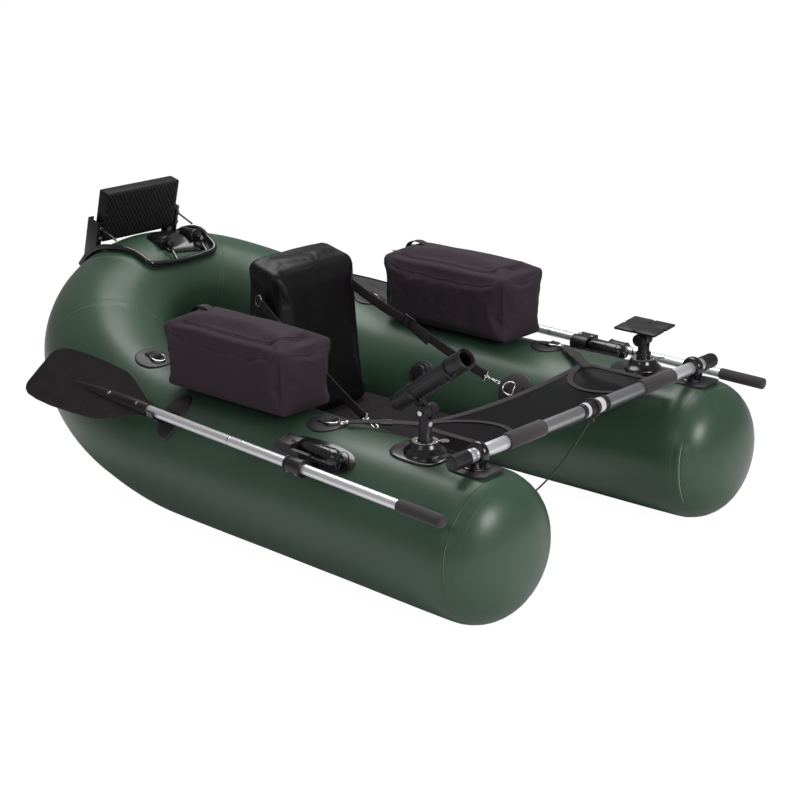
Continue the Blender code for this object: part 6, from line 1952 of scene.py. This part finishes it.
def floor_finish():
    """Pale card: to the camera nearly all white glow, so that only the boat's soft shadow shows on it."""
    finish = Finish("studio_floor", (0.90, 0.90, 0.90), 0.9)
    finish.polish(finish.grain(2.0, 2.0) * 0.05 + 0.88)
    tree = finish.tree
    rays = tree_node(tree, "ShaderNodeLightPath").outputs
    glow = tree_node(tree, "ShaderNodeEmission", values={"Strength": 1.06})
    seen = tree_node(tree, "ShaderNodeMath", {"operation": "MULTIPLY"}, {0: rays["Is Camera Ray"], 1: 0.93})
    blend = tree_node(tree, "ShaderNodeMixShader", values={
        "Fac": seen.outputs[0], 1: finish.shader.outputs["BSDF"], 2: glow.outputs["Emission"]})
    tree.links.new(blend.outputs["Shader"], tree.nodes["Material Output"].inputs["Surface"])


class FLOATTUBE_OT_finishes(bpy.types.Operator):
    """Every material of the boat"""
    bl_idname = "float_tube.finishes"
    bl_label = "Finishes"

    def execute(self, context):
        make_finishes()
        return {"FINISHED"}


class FLOATTUBE_OT_stage(bpy.types.Operator):
    """Floor, lamps, surroundings and camera"""
    bl_idname = "float_tube.stage"
    bl_label = "Studio"

    def execute(self, context):
        floor_finish()
        make_stage()
        return {"FINISHED"}


class FLOATTUBE_OT_hull(bpy.types.Operator):
    """Skin of the inflated tube with its seams"""
    bl_idname = "float_tube.hull"
    bl_label = "Hull"

    def execute(self, context):
        make_hull()
        return {"FINISHED"}


class FLOATTUBE_OT_patches(bpy.types.Operator):
    """Glued patches with webbing loops and steel rings"""
    bl_idname = "float_tube.patches"
    bl_label = "Ring patches"

    def execute(self, context):
        make_ring_patches()
        return {"FINISHED"}


class FLOATTUBE_OT_valves(bpy.types.Operator):
    """Inflation valves with collars and caps"""
    bl_idname = "float_tube.valves"
    bl_label = "Valves"

    def execute(self, context):
        make_valves()
        return {"FINISHED"}


class FLOATTUBE_OT_lanyard(bpy.types.Operator):
    """Cord from the crossbar to the seat"""
    bl_idname = "float_tube.lanyard"
    bl_label = "Lanyard"

    def execute(self, context):
        make_lanyard()
        return {"FINISHED"}


class FLOATTUBE_OT_crossbar(bpy.types.Operator):
    """Bar with grips, caps and middle sleeve"""
    bl_idname = "float_tube.crossbar"
    bl_label = "Crossbar"

    def execute(self, context):
        make_crossbar()
        return {"FINISHED"}


class FLOATTUBE_OT_bar_loops(bpy.types.Operator):
    """Rubber loops and pads that hold the crossbar"""
    bl_idname = "float_tube.bar_loops"
    bl_label = "Crossbar loops"

    def execute(self, context):
        make_bar_loops()
        return {"FINISHED"}


class FLOATTUBE_OT_oars(bpy.types.Operator):
    """Shafts, grips and blades"""
    bl_idname = "float_tube.oars"
    bl_label = "Oars"

    def execute(self, context):
        make_oars()
        return {"FINISHED"}


class FLOATTUBE_OT_oarlocks(bpy.types.Operator):
    """Pads, barrels, heads, collars and clips"""
    bl_idname = "float_tube.oarlocks"
    bl_label = "Oarlocks"

    def execute(self, context):
        make_oarlocks()
        return {"FINISHED"}


class FLOATTUBE_OT_ports(bpy.types.Operator):
    """Rubber feet with steel rings and levers"""
    bl_idname = "float_tube.ports"
    bl_label = "Star ports"

    def execute(self, context):
        make_ports()
        return {"FINISHED"}


class FLOATTUBE_OT_rod_holder(bpy.types.Operator):
    """Post, clamp tube and knob"""
    bl_idname = "float_tube.rod_holder"
    bl_label = "Rod holder"

    def execute(self, context):
        make_rod_holder()
        return {"FINISHED"}


class FLOATTUBE_OT_sounder(bpy.types.Operator):
    """Post, plate and knob"""
    bl_idname = "float_tube.sounder"
    bl_label = "Sounder mount"

    def execute(self, context):
        make_sounder()
        return {"FINISHED"}


class FLOATTUBE_OT_motor_mount(bpy.types.Operator):
    """Bent rods, sockets, board and uprights"""
    bl_idname = "float_tube.motor_mount"
    bl_label = "Motor mount"

    def execute(self, context):
        make_motor_mount()
        return {"FINISHED"}


class FLOATTUBE_OT_apron(bpy.types.Operator):
    """Net over the lap with its hems and corner straps"""
    bl_idname = "float_tube.apron"
    bl_label = "Apron"

    def execute(self, context):
        make_apron()
        return {"FINISHED"}


class FLOATTUBE_OT_back_straps(bpy.types.Operator):
    """Webbing, buckles and snap hooks"""
    bl_idname = "float_tube.back_straps"
    bl_label = "Backrest straps"

    def execute(self, context):
        make_back_straps()
        return {"FINISHED"}


class FLOATTUBE_OT_bags(bpy.types.Operator):
    """Cloth bags with zips, seams and handles"""
    bl_idname = "float_tube.bags"
    bl_label = "Bags"

    def execute(self, context):
        make_bags()
        return {"FINISHED"}


class FLOATTUBE_OT_seat(bpy.types.Operator):
    """Padded seat between the pontoons"""
    bl_idname = "float_tube.seat"
    bl_label = "Seat cushion"

    def execute(self, context):
        make_seat()
        return {"FINISHED"}


class FLOATTUBE_OT_backrest(bpy.types.Operator):
    """Padded backrest with its seams"""
    bl_idname = "float_tube.backrest"
    bl_label = "Backrest"

    def execute(self, context):
        make_backrest()
        return {"FINISHED"}


OPERATORS = (
    FLOATTUBE_OT_finishes, FLOATTUBE_OT_stage, FLOATTUBE_OT_lanyard, FLOATTUBE_OT_hull, FLOATTUBE_OT_patches,
    FLOATTUBE_OT_valves, FLOATTUBE_OT_crossbar, FLOATTUBE_OT_bar_loops, FLOATTUBE_OT_oars,
    FLOATTUBE_OT_oarlocks,
    FLOATTUBE_OT_ports, FLOATTUBE_OT_rod_holder, FLOATTUBE_OT_sounder, FLOATTUBE_OT_motor_mount,
    FLOATTUBE_OT_apron, FLOATTUBE_OT_back_straps, FLOATTUBE_OT_bags, FLOATTUBE_OT_seat, FLOATTUBE_OT_backrest,
)


class FLOATTUBE_PT_panel(bpy.types.Panel):
    """Lists the sizes, colours and steps of the boat in the sidebar"""
    bl_idname = "FLOATTUBE_PT_panel"
    bl_label = "Float Tube"
    bl_space_type = "VIEW_3D"
    bl_region_type = "UI"
    bl_category = "Float Tube"

    def draw(self, context):
        column = self.layout.column()
        for settings in GROUPS:
            box = column.box()
            box.label(text=settings.bl_rna.description or settings.__name__)
            for key in settings.__annotations__:
                box.prop(getattr(context.scene, GROUPS[settings]), key)
        for operator in OPERATORS:
            column.operator(operator.bl_idname)


GROUPS = {
    HullSizes: "float_tube_hull",
    SoftSizes: "float_tube_soft",
    FinishColours: "float_tube_colours",
    StageLevels: "float_tube_stage",
}


def register():
    for made in (*GROUPS, *OPERATORS, FLOATTUBE_PT_panel):
        bpy.utils.register_class(made)
    for settings, key in GROUPS.items():
        setattr(bpy.types.Scene, key, bpy.props.PointerProperty(type=settings))


def unregister():
    for key in GROUPS.values():
        delattr(bpy.types.Scene, key)
    for made in reversed((*GROUPS, *OPERATORS, FLOATTUBE_PT_panel)):
        bpy.utils.unregister_class(made)


def main():
    register()
    for operator in OPERATORS:
        getattr(bpy.ops.float_tube, operator.bl_idname.split(".")[1])()


if __name__ == "__main__":
    main()
